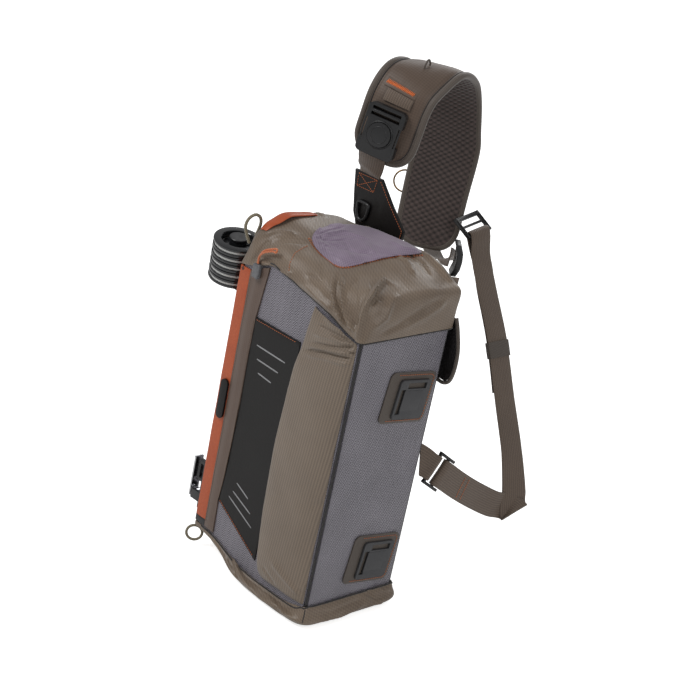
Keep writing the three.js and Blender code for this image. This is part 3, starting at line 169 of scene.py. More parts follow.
def solid_copy(node, name, join=60):
    """A welded copy of a node's solid, its pairs of triangles joined to four-sided faces."""
    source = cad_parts[node].data
    shell = bmesh.new()
    for vertex in source.vertices:
        shell.verts.new(vertex.co)
    shell.verts.ensure_lookup_table()
    for face in source.polygons:
        shell.faces.new([shell.verts[k] for k in face.vertices])
    bmesh.ops.remove_doubles(shell, verts=shell.verts, dist=2e-6)
    flat = math.radians(join)
    bmesh.ops.join_triangles(shell, faces=shell.faces, angle_face_threshold=flat, angle_shape_threshold=flat)
    mesh = bpy.data.meshes.new(name)
    shell.to_mesh(mesh)
    shell.free()
    piece = bpy.data.objects.new(name, mesh)
    bpy.context.scene.collection.objects.link(piece)
    return piece


def apply_modifier(piece, kind, **settings):
    """One modifier, added and applied."""
    modifier = piece.modifiers.new(kind.lower(), kind)
    for key, value in settings.items():
        setattr(modifier, key, value)
    bpy.ops.object.select_all(action="DESELECT")
    bpy.context.view_layer.objects.active = piece
    piece.select_set(True)
    bpy.ops.object.modifier_apply(modifier=modifier.name)
    piece.select_set(False)


def round_edges(piece, width_mm, segments=2, angle=50):
    """A bevel on every edge that is sharper than the angle in degrees."""
    apply_modifier(piece, "BEVEL", width=width_mm * MM, segments=segments, limit_method="ANGLE",
                   angle_limit=math.radians(angle))


def divide(piece, levels):
    """Rounds the piece off by subdivision."""
    apply_modifier(piece, "SUBSURF", levels=levels, render_levels=levels)


def shade(piece, angle=35):
    """Smooth shading, with creases where faces meet at more than the angle in degrees."""
    bpy.ops.object.select_all(action="DESELECT")
    bpy.context.view_layer.objects.active = piece
    piece.select_set(True)
    bpy.ops.object.shade_smooth_by_angle(angle=math.radians(angle))
    piece.select_set(False)


def seat(piece, material, slot, *nodes, body="bag", padded=None):
    """The finished piece gets its material, rides on its body and stands for its nodes."""
    piece.data.materials.clear()
    piece.data.materials.append(material)
    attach(piece, body)
    if nodes:
        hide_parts(*nodes)
    return piece


def slice_up(piece, axis, step_mm):
    """Cuts across the piece at even steps along one axis, so that it can be shaped."""
    shell = bmesh.new()
    shell.from_mesh(piece.data)
    places = [v.co[axis] for v in shell.verts]
    count = max(int((max(places) - min(places)) / (step_mm * MM)), 1)
    way = Vector([1.0 if k == axis else 0.0 for k in range(3)])
    for place in np.linspace(min(places), max(places), count + 1)[1:-1]:
        everything = shell.verts[:] + shell.edges[:] + shell.faces[:]
        bmesh.ops.bisect_plane(shell, geom=everything, dist=1e-7, plane_co=way * float(place), plane_no=way)
    shell.to_mesh(piece.data)
    shell.free()


def points_of(piece):
    """The piece's vertices as rows of an array."""
    places = np.empty(len(piece.data.vertices) * 3, np.float32)
    piece.data.vertices.foreach_get("co", places)
    return places.reshape(-1, 3).astype(float)


def normals_of(piece):
    """The normals at the piece's vertices."""
    ways = np.empty(len(piece.data.vertices) * 3, np.float32)
    piece.data.vertices.foreach_get("normal", ways)
    return ways.reshape(-1, 3).astype(float)


def set_points(piece, places):
    """Moves the piece's vertices to new places."""
    piece.data.vertices.foreach_set("co", places.astype(np.float32).ravel())
    piece.data.update()


def ripple(places, size_mm, seed):
    """Soft noise from -1 to 1 at each place, one swell about size_mm across."""
    scale = 1 / (size_mm * MM)
    shift = Vector((seed * 7.3, seed * 3.1, seed * 5.7))
    return np.array([noise.noise(Vector(p) * scale + shift) for p in places])


def puff(piece, rise_mm):
    """Moves each point of the piece out along its normal by its own rise."""
    set_points(piece, points_of(piece) + normals_of(piece) * (rise_mm * MM)[:, None])


def ribbed(tree, source, ribs):
    """The sum of even ribs: each has a direction, a pitch in mm and a share of the height."""
    total = None
    for way, pitch, share in ribs:
        turn = Vector(way).normalized() * (2 * math.pi / (pitch * MM))
        phase = add_node(tree, "VectorMath", {0: source, 1: turn}, operation="DOT_PRODUCT")
        wave = add_node(tree, "Math", {0: phase.outputs["Value"]}, operation="SINE")
        rib = add_node(tree, "Math", {0: wave.outputs[0], 1: share / 2, 2: share / 2}, operation="MULTIPLY_ADD")
        if total is None:
            total = rib.outputs[0]
        else:
            total = add_node(tree, "Math", {0: total, 1: rib.outputs[0]}, operation="ADD").outputs[0]
    return total


FINE_CRINKLE_MM, BROAD_CRINKLE_MM = 3.2, 14.0


def dress(tree, bsdf, pattern, source, low, high, depth_mm, cloud=0.18, cloud_mm=60, crinkle=0.25):
    """Colour and relief of a cloth from its pattern, with soft patches and a fine crinkle."""
    patches = add_node(tree, "TexNoise", {"Vector": source, "Scale": 1000 / cloud_mm, "Detail": 3.0})
    mixed = add_node(tree, "Math", {0: patches.outputs[0], 1: cloud * 2, 2: -cloud}, operation="MULTIPLY_ADD")
    share = add_node(tree, "Math", {0: pattern, 1: mixed.outputs[0]}, operation="ADD", use_clamp=True)
    colour = add_node(tree, "Mix", {0: share.outputs[0], 6: linear(low), 7: linear(high)}, data_type="RGBA")
    tree.links.new(colour.outputs[2], bsdf.inputs["Base Color"])
    fine = add_node(tree, "TexNoise", {"Vector": source, "Scale": 1000 / FINE_CRINKLE_MM, "Detail": 4.0})
    rough = add_node(tree, "TexNoise", {"Vector": source, "Scale": 1000 / BROAD_CRINKLE_MM, "Detail": 3.0})
    crinkles = add_node(tree, "Math", {0: fine.outputs[0], 1: rough.outputs[0]}, operation="ADD")
    relief = add_node(tree, "Math", {0: crinkles.outputs[0], 1: crinkle, 2: pattern}, operation="MULTIPLY_ADD")
    bump = add_node(tree, "Bump", {"Height": relief.outputs[0], "Distance": depth_mm * MM, "Strength": 1.0})
    tree.links.new(bump.outputs[0], bsdf.inputs["Normal"])


def woven(name, ribs, low, high, depth_mm, by="Object", look=None, **shader):
    """A ribbed cloth, its colour and relief made from the sum of its ribs."""
    made, tree, bsdf = blank_material(name, **shader)
    at = add_node(tree, "TexCoord", {}).outputs[by]  # Object in metres, or UV in metres along a strap
    dress(tree, bsdf, ribbed(tree, at, ribs), at, low, high, depth_mm, **(look or {}))
    return made


def grained(name, grain_mm, detail, low, high, depth_mm, look=None, **shader):
    """A moulded or coated surface, its colour and relief made from a fine noise."""
    made, tree, bsdf = blank_material(name, **shader)
    at = add_node(tree, "TexCoord", {}).outputs["Object"]
    grain = add_node(tree, "TexNoise", {"Vector": at, "Scale": 1000 / grain_mm, "Detail": detail})
    dress(tree, bsdf, grain.outputs[0], at, low, high, depth_mm, **(look or {}))
    return made


# Polyurethane-coated polyester mesh, woven as a herringbone of pale and dark yarns. The real
# threads are 1 mm apart, too fine for the picture, so they are drawn 3.8 mm apart.
ZIGZAG_MM, YARN_MM, YARN_SLOPE = 5.6, 3.8, 1.4
herringbone, tree, bsdf = blank_material("coated_herringbone_mesh", Roughness=0.36, Coat_Weight=0.12,
                                         Sheen_Weight=0.25)
at = add_node(tree, "TexCoord", {}).outputs["Object"]
apart = add_node(tree, "SeparateXYZ", {0: at})
along_wall = add_node(tree, "Math", {0: apart.outputs[0], 1: apart.outputs[1]}, operation="ADD")
zigzag = add_node(tree, "Math", {0: along_wall.outputs[0], 1: ZIGZAG_MM * MM}, operation="PINGPONG")
climb = add_node(tree, "Math", {0: zigzag.outputs[0], 1: YARN_SLOPE, 2: apart.outputs[2]},
                 operation="MULTIPLY_ADD")
phase = add_node(tree, "Math", {0: climb.outputs[0], 1: 2 * math.pi / (YARN_MM * MM)}, operation="MULTIPLY")
wave = add_node(tree, "Math", {0: phase.outputs[0]}, operation="SINE")
yarn = add_node(tree, "Math", {0: wave.outputs[0], 1: 0.42, 2: 0.42}, operation="MULTIPLY_ADD")
dress(tree, bsdf, yarn.outputs[0], at, 0x302D34, 0x9D98A3, 0.45)

WALLS = [
    ("side_wall_right", 0, 1),
    ("side_wall_left", 0, -1),
    ("front_wall", 1, -1),
    ("back_wall", 1, 1),
]
TAB_PLACES = [(29, 312), (29, 78)]
TAB_REACH = (56, 50)
FOOT_CORNER = 30
WALL_GRID = 7
for node, axis, outward in WALLS:
    wall = solid_copy(node, node + "_cloth")
    slice_up(wall, 1 - axis, WALL_GRID)
    slice_up(wall, 2, WALL_GRID)
    round_edges(wall, 0.9)
    places = points_of(wall)
    if node == "side_wall_right":  # its round foot corner is drawn out square, under the boot
        corner = np.array([places[:, 1].max(), places[:, 2].min()]) + np.array([-1, 1]) * FOOT_CORNER * MM
        away = (places[:, 1:] - corner) * (1, -1)
        inside = (away > 0).all(axis=1)
        stretch = np.linalg.norm(away, axis=1) / np.maximum(away.max(axis=1), 1e-9)
        places[inside, 1:] = corner + (away * (1, -1) * stretch[:, None])[inside]
    across = places[:, 1 - axis]
    middle, half = (across.max() + across.min()) / 2, (across.max() - across.min()) / 2
    hold = 1 - np.abs((across - middle) / half) ** 4
    if node == "side_wall_right":  # flat under the lash tabs
        for y, z in TAB_PLACES:
            aside, above = np.abs(across / MM - y), np.abs(places[:, 2] / MM - z)
            reach = np.maximum(aside / TAB_REACH[0], above / TAB_REACH[1])
            hold *= np.clip((reach - 1) * 2.2, 0, 1)
    swell = 0.5 + ripple(places, 90, 2) + 0.35 * ripple(places, 30, 5)
    places[:, axis] += outward * np.clip(swell * 0.9, -0.4, 2.2) * MM * hold * (outward * places[:, axis] > 0)
    set_points(wall, places)
    shade(wall, 50)
    seat(wall, herringbone, "grey_cloth", node, padded=0.8)

# Piping: a cord in a bias-cut black tape, sewn into the upright seams of the box.
# It is slightly wavy, as sewn piping is. The zip band covers the front left seam.


def skin_faces(rings, count, first=0, closed=False, capped=True):
    """Faces over rings of count points from the first point on, in a loop or between two ends."""
    faces = []
    for k in range(rings if closed else rings - 1):
        low, high = first + k * count, first + (k + 1) % rings * count
        for j in range(count):
            after = (j + 1) % count
            faces.append((low + j, low + after, high + after, high + j))
    if capped and not closed:
        faces.append(tuple(first + j for j in range(count)))
        faces.append(tuple(first + (rings - 1) * count + j for j in range(count)))
    return faces


def circle(count):
    """Cosine and sine of evenly spaced turns."""
    return [(math.cos(a), math.sin(a)) for a in np.linspace(0, 2 * math.pi, count + 1)[:-1]]


def catmull(p, t):
    """A smooth curve from the second of four places to the third."""
    return 0.5 * (2 * p[1] + (p[2] - p[0]) * t + (2 * p[0] - 5 * p[1] + 4 * p[2] - p[3]) * t * t
                  + (3 * p[1] - p[0] - 3 * p[2] + p[3]) * t ** 3)


def resample(points, spacing, closed=False):
    """A smooth line through the points, with a place every spacing metres."""
    points = [Vector(p) for p in points]
    count = len(points)
    dense = []
    spans = count if closed else count - 1
    for k in range(spans):
        if closed:
            p = [points[(k + j - 1) % count] for j in range(4)]
        else:
            p = [points[min(max(k + j - 1, 0), count - 1)] for j in range(4)]
        dense += [catmull(p, step / 12) for step in range(12)]
    dense.append(points[0].copy() if closed else points[-1].copy())
    lengths = np.concatenate([[0], np.cumsum([(b - a).length for a, b in zip(dense, dense[1:])])])
    total = max(int(round(lengths[-1] / spacing)), 3)
    wanted = np.linspace(0, lengths[-1], total + 1)
    table = np.array([list(p) for p in dense])
    found = np.stack([np.interp(wanted, lengths, table[:, k]) for k in range(3)], axis=1)
    return [Vector(p) for p in (found[:-1] if closed else found)]


def tube(name, points, radius, spacing=3 * MM, sides=10, closed=False):
    """A round cord along a smooth line, with its length and girth as UV in metres."""
    line = resample(points, spacing, closed)
    count = len(line)
    side = None
    rings, uvs = [], []
    length = 0.0
    for k, place in enumerate(line):
        before = line[k - 1] if k or closed else line[0]
        after = line[(k + 1) % count] if k < count - 1 or closed else line[-1]
        way = (after - before).normalized()
        side = (way.orthogonal() if side is None else side - way * side.dot(way)).normalized()
        up = way.cross(side)
        length += (place - line[k - 1]).length if k else 0
        for j in range(sides):
            angle = 2 * math.pi * j / sides
            rings.append(place + (side * math.cos(angle) + up * math.sin(angle)) * radius)
            uvs.append((j / sides * 2 * math.pi * radius, length))
    piece = new_piece(name, rings, skin_faces(count, sides, closed=closed), uvs)
    shade(piece, 60)
    return piece


# Black cotton-rich bias tape, tightly woven on the slant, so that it looks dull and soft
bias_tape = woven("woven_bias_tape", [((1, 1, 0), 2.2, 0.6)], 0x131111, 0x262222, 0.2, "UV",
                  Roughness=0.75, Sheen_Weight=0.3)

PIPING = [
    ("piping_front_right", [(111.6, -76.6, 27), (111.8, -76.8, 160), (111.4, -76.6, 290), (111.6, -76.6, 404)]),
    ("piping_back_right", [(111.6, 76.6, 30), (111.5, 76.8, 200), (111.7, 76.5, 320), (111.6, 76.6, 404)]),
    ("piping_back_left", [(-111.6, 76.6, 41), (-111.8, 76.5, 200), (-111.5, 76.7, 330), (-111.6, 76.6, 421)]),
]
for node, route in PIPING:
    seat(tube(node + "_cord", [mm(*p) for p in route], 1.35 * MM, 5 * MM), bias_tape, "piping", node)

# Hood: pack cloth gathered over the top of the box and sewn to it along its rim. It is drawn
# in at the front corner, where the folds meet, and stands in soft ridges above.


def sight(pixel):
    """The way from the lens through a pixel of the frame."""
    x, y = pixel[0] - CENTRE_PX[0], pixel[1] - CENTRE_PX[1]
    return (ahead * FOCAL_PX + image_right * x - image_up * y).normalized()


def tree_of(piece):
    """The piece's surface, to find places on it."""
    faces = [p.vertices[:] for p in piece.data.polygons]
    return BVHTree.FromPolygons([v.co.copy() for v in piece.data.vertices], faces)


def traced(pixels, bvh, step_px=1.5):
    """Places on a surface under a line of the frame, each with its normal there."""
    found = []
    for a, b in zip(pixels, pixels[1:]):
        count = max(int(math.dist(a, b) / step_px), 1)
        for k in range(count + (b == pixels[-1])):
            pixel = [a[j] + (b[j] - a[j]) * k / count for j in (0, 1)]
            place, normal, _, _ = bvh.ray_cast(EYE, sight(pixel))
            if place is not None:
                found.append((place, normal))
    return found


def fold(piece, folds, find):
    """Soft ridges and furrows on the piece, each a line with its half width and its rise in mm."""
    places = points_of(piece)
    normals = normals_of(piece)
    bvh = tree_of(piece)
    moves = np.zeros_like(places)
    for course, width_mm, rise_mm in folds:
        line = find(course, bvh)
        if len(line) < 2:
            continue
        ridge = np.array([list(p) for p, _ in line])
        ways = np.array([list(n) for _, n in line])
        reach = 3 * width_mm * MM
        near = np.where(np.all((places > ridge.min(0) - reach) & (places < ridge.max(0) + reach), axis=1))[0]
        apart = np.linalg.norm(places[near, None] - ridge[None], axis=2)
        closest = apart.argmin(1)
        share = np.exp(-(apart.min(1) / (width_mm * MM)) ** 2)
        t = closest / (len(ridge) - 1)
        share *= np.clip(np.minimum(t, 1 - t) * 6, 0.15, 1)
        facing = (normals[near] * ways[closest]).sum(1)
        moves[near] += ways[closest] * (share * np.clip(facing + 0.4, 0, 1) * rise_mm * MM)[:, None]
    set_points(piece, places + moves)


# Polyester pack cloth with a polyurethane back: a rib every 1.2 mm, drawn 3 mm apart so that it
# shows, and a satin face that catches the light on each fold
khaki_cloth = woven("ribbed_pack_cloth", [((0.35, 0.5, 1), 3.0, 0.3), ((1, 1, 0), 3.2, 0.22)],
                    0x645547, 0x8B7A68, 0.22, look=dict(cloud=0.35, cloud_mm=45, crinkle=0.5),
                    Roughness=0.43, Sheen_Weight=0.2)

hood = solid_copy("hood", "hood_cloth")
divide(hood, 3)
# Each fold: its course in pixels of the frame, its half width and its rise in mm
HOOD_FOLDS = [
    ([(357, 341), (361, 320), (366, 305), (374, 292), (384, 281), (394, 284)], 3.2, 8.4),
    ([(356, 334), (347, 316), (343, 298), (342, 275)], 2.6, 6.8),
    ([(347, 329), (338, 312), (332, 291), (334, 273)], 2.4, 6.0),
    ([(352, 332), (344, 318), (338, 300), (338, 278)], 1.9, -5.4),
    ([(360, 330), (353, 312), (352, 292), (358, 276)], 4.0, -5.0),
    ([(371, 304), (377, 296), (383, 300)], 3.0, -5.9),
    ([(370, 330), (385, 318), (392, 300), (402, 296)], 5.3, 3.6),
    ([(378, 335), (398, 326), (420, 312), (440, 300)], 4.4, -2.5),
    ([(400, 328), (425, 316), (448, 300)], 5.3, 3.4),
    ([(396, 256), (408, 262), (414, 276)], 3.5, 3.6),
    ([(406, 252), (420, 262), (430, 276)], 3.5, -3.4),
    ([(424, 252), (440, 268), (452, 284)], 4.4, 3.6),
    ([(300, 280), (316, 296), (334, 312)], 4.4, 3.4),
    ([(306, 274), (322, 288), (336, 302)], 3.6, -3.2),
    ([(262, 262), (276, 270), (292, 274)], 3.0, 2.6),
    ([(258, 256), (272, 262), (286, 262)], 2.8, -2.6),
    ([(262, 236), (276, 232), (296, 234)], 4.0, 3.9),
    ([(270, 244), (286, 240), (306, 242)], 4.0, -3.4),
    ([(288, 214), (304, 212), (326, 216)], 5.3, 3.1),
    ([(252, 262), (262, 248), (270, 240)], 3.1, -3.6),
    ([(320, 262), (324, 280), (328, 300)], 3.5, -2.5),
]
fold(hood, HOOD_FOLDS, traced)
# Folds at the back, which the frame hides, have their course in mm
BACK_FOLDS = [
    ([(-80, 84, 440), (-62, 80, 470), (-40, 60, 482)], 6, 2.6),
    ([(0, 84, 430), (10, 80, 466), (16, 60, 482)], 7, -2.4),
    ([(50, 84, 424), (44, 80, 462), (30, 60, 482)], 6, 2.6),
    ([(84, 84, 416), (92, 70, 448), (80, 50, 470)], 6, 2.4),
    ([(112, 30, 412), (112, 40, 440), (100, 46, 458)], 6, -2.0),
    ([(-116, 20, 430), (-112, 10, 456), (-100, 0, 476)], 6, 2.2),
    ([(-116, 60, 430), (-108, 66, 458), (-90, 66, 476)], 6, -2.2),
]


def laid(points, bvh, step=2 * MM):
    """The nearest places of a surface to a smooth line of points in mm, with their normals."""
    return [bvh.find_nearest(p)[:2] for p in resample([mm(*q) for q in points], step)]


fold(hood, BACK_FOLDS, laid)
HOOD_RIM_Z, HOOD_BLEND = 404, 30
places = points_of(hood)
above = np.clip((places[:, 2] / MM - HOOD_RIM_Z) / HOOD_BLEND, 0, 1)
puff(hood, (1.0 * ripple(places, 46, 3) + 0.45 * ripple(places, 17, 8)) * above)
shade(hood, 70)
seat(hood, khaki_cloth, "khaki_cloth", "hood", padded=0.3)
hood_skin = tree_of(hood)
HOOD_SEAM = [
    (-62, -82, 438), (-53, -82, 438), (-7, -82, 429), (52, -82, 418), (100, -82, 401), (113, -81, 401),
    (117, -76, 401), (117, 0, 401), (117, 76, 401), (113, 81, 401), (100, 82, 401), (52, 82, 418),
    (-7, 82, 429), (-53, 82, 438), (-70, 82, 436), (-84, 82, 424), (-98, 82, 417), (-113, 81, 417),
    (-117, 76, 417), (-117, 0, 417), (-117, -54, 417),
]


def seam_tape(name, course, skin, radius, spacing=4):
    """A thin bias tape rolled along the edge of a piece, laid on the piece's own surface."""
    line = [place + normal * 0.25 * MM for place, normal in laid(course, skin, spacing * MM)]
    seat(tube(name, line, radius * MM, spacing * MM, 8), bias_tape, "piping")


# Black bias tape round the hood's rim. Along the front, where the hood's edge stands over the grey wall, its dark
# line is also painted shade: it stands for the shadow under that edge.
seam_tape("hood_rim_tape_and_edge_shade", HOOD_SEAM, hood_skin, 1.0)

# Stitches: bonded nylon thread, drawn 0.7 to 1.1 mm thick so that it shows, in rows of locked
# stitches 3 to 4 mm long. Each sinks a little into the cloth at both its ends.
STRANDS = [((1, 0.4, 0.7), 0.9, 0.8)]
orange_thread = woven("bonded_nylon_thread", STRANDS, 0xA8522A, 0xD07C48, 0.1, look=dict(cloud=0.2),
                      Roughness=0.5, Sheen_Weight=0.1)

# One stitch: places along it, each with its share of the thread's radius and its height
STITCH_SHAPE = [(0.0, 0.35, -0.2), (0.2, 0.9, 0.25), (0.5, 1.0, 0.4), (0.8, 0.9, 0.25), (1.0, 0.35, -0.2)]


def sew(name, line, stitch=4.0, gap=1.2, radius=0.55, lift=0.25, side=0.0, material=None, slot="orange_band"):
    """A row of stitches along places with normals. Values in mm; side shifts the row sideways."""
    places = np.array([list(p) for p, _ in line])
    ways = np.array([list(n) for _, n in line])
    lengths = np.concatenate([[0], np.cumsum(np.linalg.norm(np.diff(places, axis=0), axis=1))])

    def at_length(s):
        """The place and normal at a length along the row."""
        place = Vector([float(np.interp(s, lengths, places[:, k])) for k in range(3)])
        way = Vector([float(np.interp(s, lengths, ways[:, k])) for k in range(3)])
        return place, way.normalized()

    points, faces = [], []
    pitch = (stitch + gap) * MM
    for k in range(int(lengths[-1] / pitch)):
        start, end = k * pitch, k * pitch + stitch * MM
        (a, normal), (b, _) = at_length(start), at_length(end)
        along = (b - a).normalized()
        across = normal.cross(along).normalized()
        first = len(points)
        for t, share, height in STITCH_SHAPE:
            centre = a.lerp(b, t) + normal * (height * radius + lift) * MM + across * side * MM
            for j in range(6):
                angle = math.pi * j / 3
                ring = across * math.cos(angle) + normal * math.sin(angle)
                points.append(centre + ring * radius * share * MM)
        faces += skin_faces(5, 6, first)
    piece = new_piece(name, points, faces)
    shade(piece, 60)
    return seat(piece, material or orange_thread, slot)


curved_seam = [(289, 271), (290, 263), (295, 253), (303, 248), (310, 245)]
sew("hood_curved_stitches", traced(curved_seam, hood_skin), stitch=2.6, gap=1.0, radius=0.45)

# Stow pocket: thin plum nylon let into the top of the hood, gathered towards its left end and
# held along its front by two rows of orange stitching.

# Plain-woven nylon taffeta: two fine crossing ribs and a strong crinkle, so that it looks thin
plum_nylon = woven("plum_nylon_taffeta", [((0.6, 1, 0.3), 2.6, 0.3), ((1, -0.5, 0.4), 2.6, 0.2)],
                   0x6C5E6F, 0xA896AC, 0.14, look=dict(cloud=0.3, cloud_mm=38, crinkle=0.7),
                   Roughness=0.5, Sheen_Weight=0.25)
stow = solid_copy("stow_pocket", "stow_pocket_cloth")
divide(stow, 4)
STOW_FOLDS = [
    ([(318, 240), (334, 232), (352, 234), (372, 240)], 4.0, 2.0),
    ([(320, 246), (338, 246), (358, 252), (380, 254)], 4.0, -2.0),
    ([(328, 226), (346, 224), (368, 226), (400, 238)], 5.0, 2.2),
    ([(330, 221), (350, 219), (376, 222), (408, 232)], 3.5, -1.8),
    ([(316, 236), (328, 252), (344, 262)], 3.5, 1.8),
    ([(344, 240), (356, 258), (362, 266)], 3.0, -1.2),
    ([(366, 244), (378, 256), (392, 258)], 4.0, 1.4),
    ([(390, 240), (404, 248), (420, 250)], 5.0, 1.6),
    ([(316, 238), (322, 237)], 3.2, -4.5),
    ([(315, 233), (324, 226), (338, 221)], 1.9, 2.4),
    ([(315, 235), (329, 230), (346, 226)], 1.9, -2.2),
    ([(316, 237), (332, 234), (354, 231)], 1.9, 2.4),
    ([(317, 240), (333, 240), (356, 239)], 1.9, -2.2),
    ([(317, 243), (331, 246), (350, 249)], 1.9, 2.2),
    ([(319, 247), (329, 253), (342, 259)], 1.9, -2.0),
    ([(362, 262), (384, 262), (410, 264)], 2.4, 1.6),
    ([(352, 222), (378, 228), (412, 242)], 2.2, 1.8),
]
fold(stow, STOW_FOLDS, traced)
puff(stow, ripple(points_of(stow), 22, 6) * 0.7)
shade(stow, 70)
seat(stow, plum_nylon, "mauve_cloth", "stow_pocket", padded=0.3)

STOW_HEM = [
    (-50, -38, 475), (-32, -43.5, 474), (-12, -48, 472), (10, -51.5, 470), (24, -53, 468), (33, -46, 471),
    (38, -30, 474), (43, -4, 479), (48, 20, 482), (54, 44, 482), (59, 64, 480),
]
hem_line = laid(STOW_HEM, hood_skin)
for row, side in (("outer", 2.6), ("inner", 0.6)):
    sew("stow_hem_stitches_" + row, hem_line, stitch=2.8, gap=1.0, radius=0.5, lift=0.5, side=side)

# Foot: the same pack cloth turned under the bag as a boot. It is slack over the front, where it
# hangs below the box, and creased at its back corner.
boot = solid_copy("boot", "boot_cloth")
divide(boot, 3)
BOOT_FOLDS = [
    ([(234, 572), (260, 597), (286, 614), (304, 624)], 4.0, 3.6),
    ([(238, 566), (264, 588), (288, 604), (300, 611)], 3.2, -3.6),
    ([(230, 552), (240, 574), (254, 592)], 3.0, 2.6),
    ([(228, 556), (238, 580), (250, 596)], 2.6, -2.4),
    ([(268, 596), (282, 612), (296, 620)], 2.4, 2.4),
    ([(276, 606), (286, 622), (296, 628)], 3.0, -2.6),
    ([(310, 616), (332, 612), (352, 603), (366, 598)], 3.0, -2.0),
    ([(316, 622), (340, 616), (366, 604)], 3.0, 2.6),
    ([(366, 590), (374, 597), (386, 597)], 2.8, -3.6),
    ([(362, 596), (372, 604), (384, 602)], 2.6, 2.8),
    ([(374, 586), (380, 590), (390, 590)], 2.4, 2.4),
]
fold(boot, BOOT_FOLDS, traced)
places = points_of(boot)
SOLE_Z, SOLE_BLEND, FLAT = 5, 8, 0.9
raised = np.clip((places[:, 2] / MM - SOLE_Z) / SOLE_BLEND, 0, 1) * (np.abs(normals_of(boot)[:, 2]) < FLAT)
puff(boot, (0.9 * ripple(places, 38, 11) + 0.5 * ripple(places, 14, 12)) * raised)
shade(boot, 70)
seat(boot, khaki_cloth, "khaki_cloth", "boot", padded=0.3)
BOOT_SEAM = [
    (-100, -82, 40), (-76, -82, 38), (-61, -82, 34), (-46, -82, 29), (-25, -82, 23), (0, -82, 20),
    (20, -82, 19), (90, -82, 20), (108, -82, 28), (117, -76, 31), (117, 0, 30), (117, 76, 30),
    (108, 81, 30), (0, 82, 30), (-108, 82, 30), (-117, 76, 30), (-117, 0, 30), (-117, -50, 34),
]
boot_skin = tree_of(boot)
seam_tape("boot_rim_tape", BOOT_SEAM, boot_skin, 1.0)
boot_corner = traced([(305, 610), (304, 616), (302, 623)], boot_skin)
seat(tube("boot_corner_tape", [place for place, _ in boot_corner], 0.7 * MM, 3 * MM, 8), bias_tape, "piping")

# Front pocket: a bellows pocket of the same pack cloth with foam behind its face. A seam runs
# across it below the hood, and folds fan from the corner where hood, wall and pocket meet.

# The pack cloth with foam behind it: its rib runs upright and stands out more than on the hood
pocket_cloth = woven("foam_backed_pack_cloth", [((1, 0.25, -0.08), 3.9, 0.46), ((0, 0.2, 1), 2.6, 0.2)],
                     0x5F5246, 0x8D7D6C, 0.26, look=dict(cloud=0.2, cloud_mm=70, crinkle=0.35),
                     Roughness=0.5, Sheen_Weight=0.25)
pocket = solid_copy("front_pocket", "front_pocket_cloth")
divide(pocket, 4)
POCKET_FOLDS = [
    ([(304, 350), (322, 352), (336, 356), (359, 361)], 1.7, -4.4),
    ([(305, 355), (324, 358), (340, 363), (358, 366)], 2.4, 2.4),
    ([(356, 340), (344, 334), (332, 325), (324, 316)], 2.8, 3.2),
    ([(354, 342), (342, 338), (328, 330), (316, 324)], 2.0, -3.4),
    ([(356, 344), (344, 343), (330, 338), (312, 333)], 2.6, 3.2),
    ([(356, 347), (340, 348), (326, 346), (310, 342)], 2.0, -3.4),
    ([(357, 351), (342, 353), (326, 349), (308, 346)], 2.2, 2.8),
    ([(344, 350), (350, 353), (357, 354)], 1.6, -3.0),
    ([(270, 560), (286, 580), (300, 596)], 4.0, 2.4),
    ([(262, 566), (276, 588), (290, 602)], 3.5, -1.8),
    ([(300, 590), (314, 580), (324, 566)], 5.0, 1.4),
    ([(316, 500), (326, 494), (336, 490)], 5.0, 1.2),
    ([(310, 508), (324, 502), (334, 500)], 4.0, -1.0),
    ([(330, 440), (340, 420), (346, 396)], 6.0, 1.0),
]
fold(pocket, POCKET_FOLDS, traced)
places = points_of(pocket)
puff(pocket, 0.8 * ripple(places, 48, 21) + 0.3 * ripple(places, 15, 22))
shade(pocket, 70)
seat(pocket, pocket_cloth, "khaki_cloth", "front_pocket", padded=0.5)

# Dark panel: rubberised cloth welded flat to the front, bare but for two groups of pale printed
# bars, with a row of orange stitches along its top and its slanting foot.

# Nylon with a black rubber face, calendered smooth: a fine pebble and a soft broad gloss
rubber_cloth = grained("rubberised_cloth", 2.4, 5.0, 0x0A0909, 0x161313, 0.12,
                       dict(cloud=0.2, cloud_mm=50, crinkle=0.3), Roughness=0.4, Specular_IOR_Level=0.3)
panel = solid_copy("dark_panel", "dark_panel_cloth", join=1)
PANEL_GRID, PANEL_FACE_Y = 8, -0.0800
slice_up(panel, 0, PANEL_GRID)
slice_up(panel, 2, PANEL_GRID)
round_edges(panel, 0.45)
places = points_of(panel)
places[:, 1] -= np.clip(0.4 + ripple(places, 60, 31), 0, 1.2) * 0.5 * MM * (places[:, 1] < PANEL_FACE_Y)
set_points(panel, places)
shade(panel, 40)
seat(panel, rubber_cloth, "dark_panel", "dark_panel")
panel_skin = tree_of(panel)

# Screen-printed plastisol ink: a thin pale layer, slightly uneven over the cloth
pale_print = grained("screen_printed_bar", 1.5, 3.0, 0x77777A, 0xA2A2A4, 0.05, Roughness=0.5)
BAR_HALF_WIDTH, BAR_THICKNESS = 0.95, 0.18
BARS = [
    ((257, 345), (285, 363)),
    ((257, 359), (278, 373)),
    ((258, 373), (271, 383)),
    ((237, 483), (248, 499)),
    ((233, 491), (250, 514)),
    ((229, 496), (251, 528)),
]
points, faces = [], []
for a, b in BARS:
    line = traced([a, b], panel_skin)
    (start, normal), (end, _) = line[0], line[-1]
    along = (end - start).normalized()
    across = normal.cross(along).normalized() * BAR_HALF_WIDTH * MM
    first = len(points)
    for k in range(9):
        place = start.lerp(end, k / 8) + normal * 0.05 * MM
        side = across * (0.6 if k in (0, 8) else 1.0)
        raised = normal * BAR_THICKNESS * MM
        points += [place + side, place + side + raised, place - side + raised, place - side]
    faces += skin_faces(9, 4, first)
seat(new_piece("dark_panel_bars", points, faces), pale_print, "dark_panel")
top_row = [(-68, -81, 357.5), (-28, -81, 358), (11, -81, 358.6)]
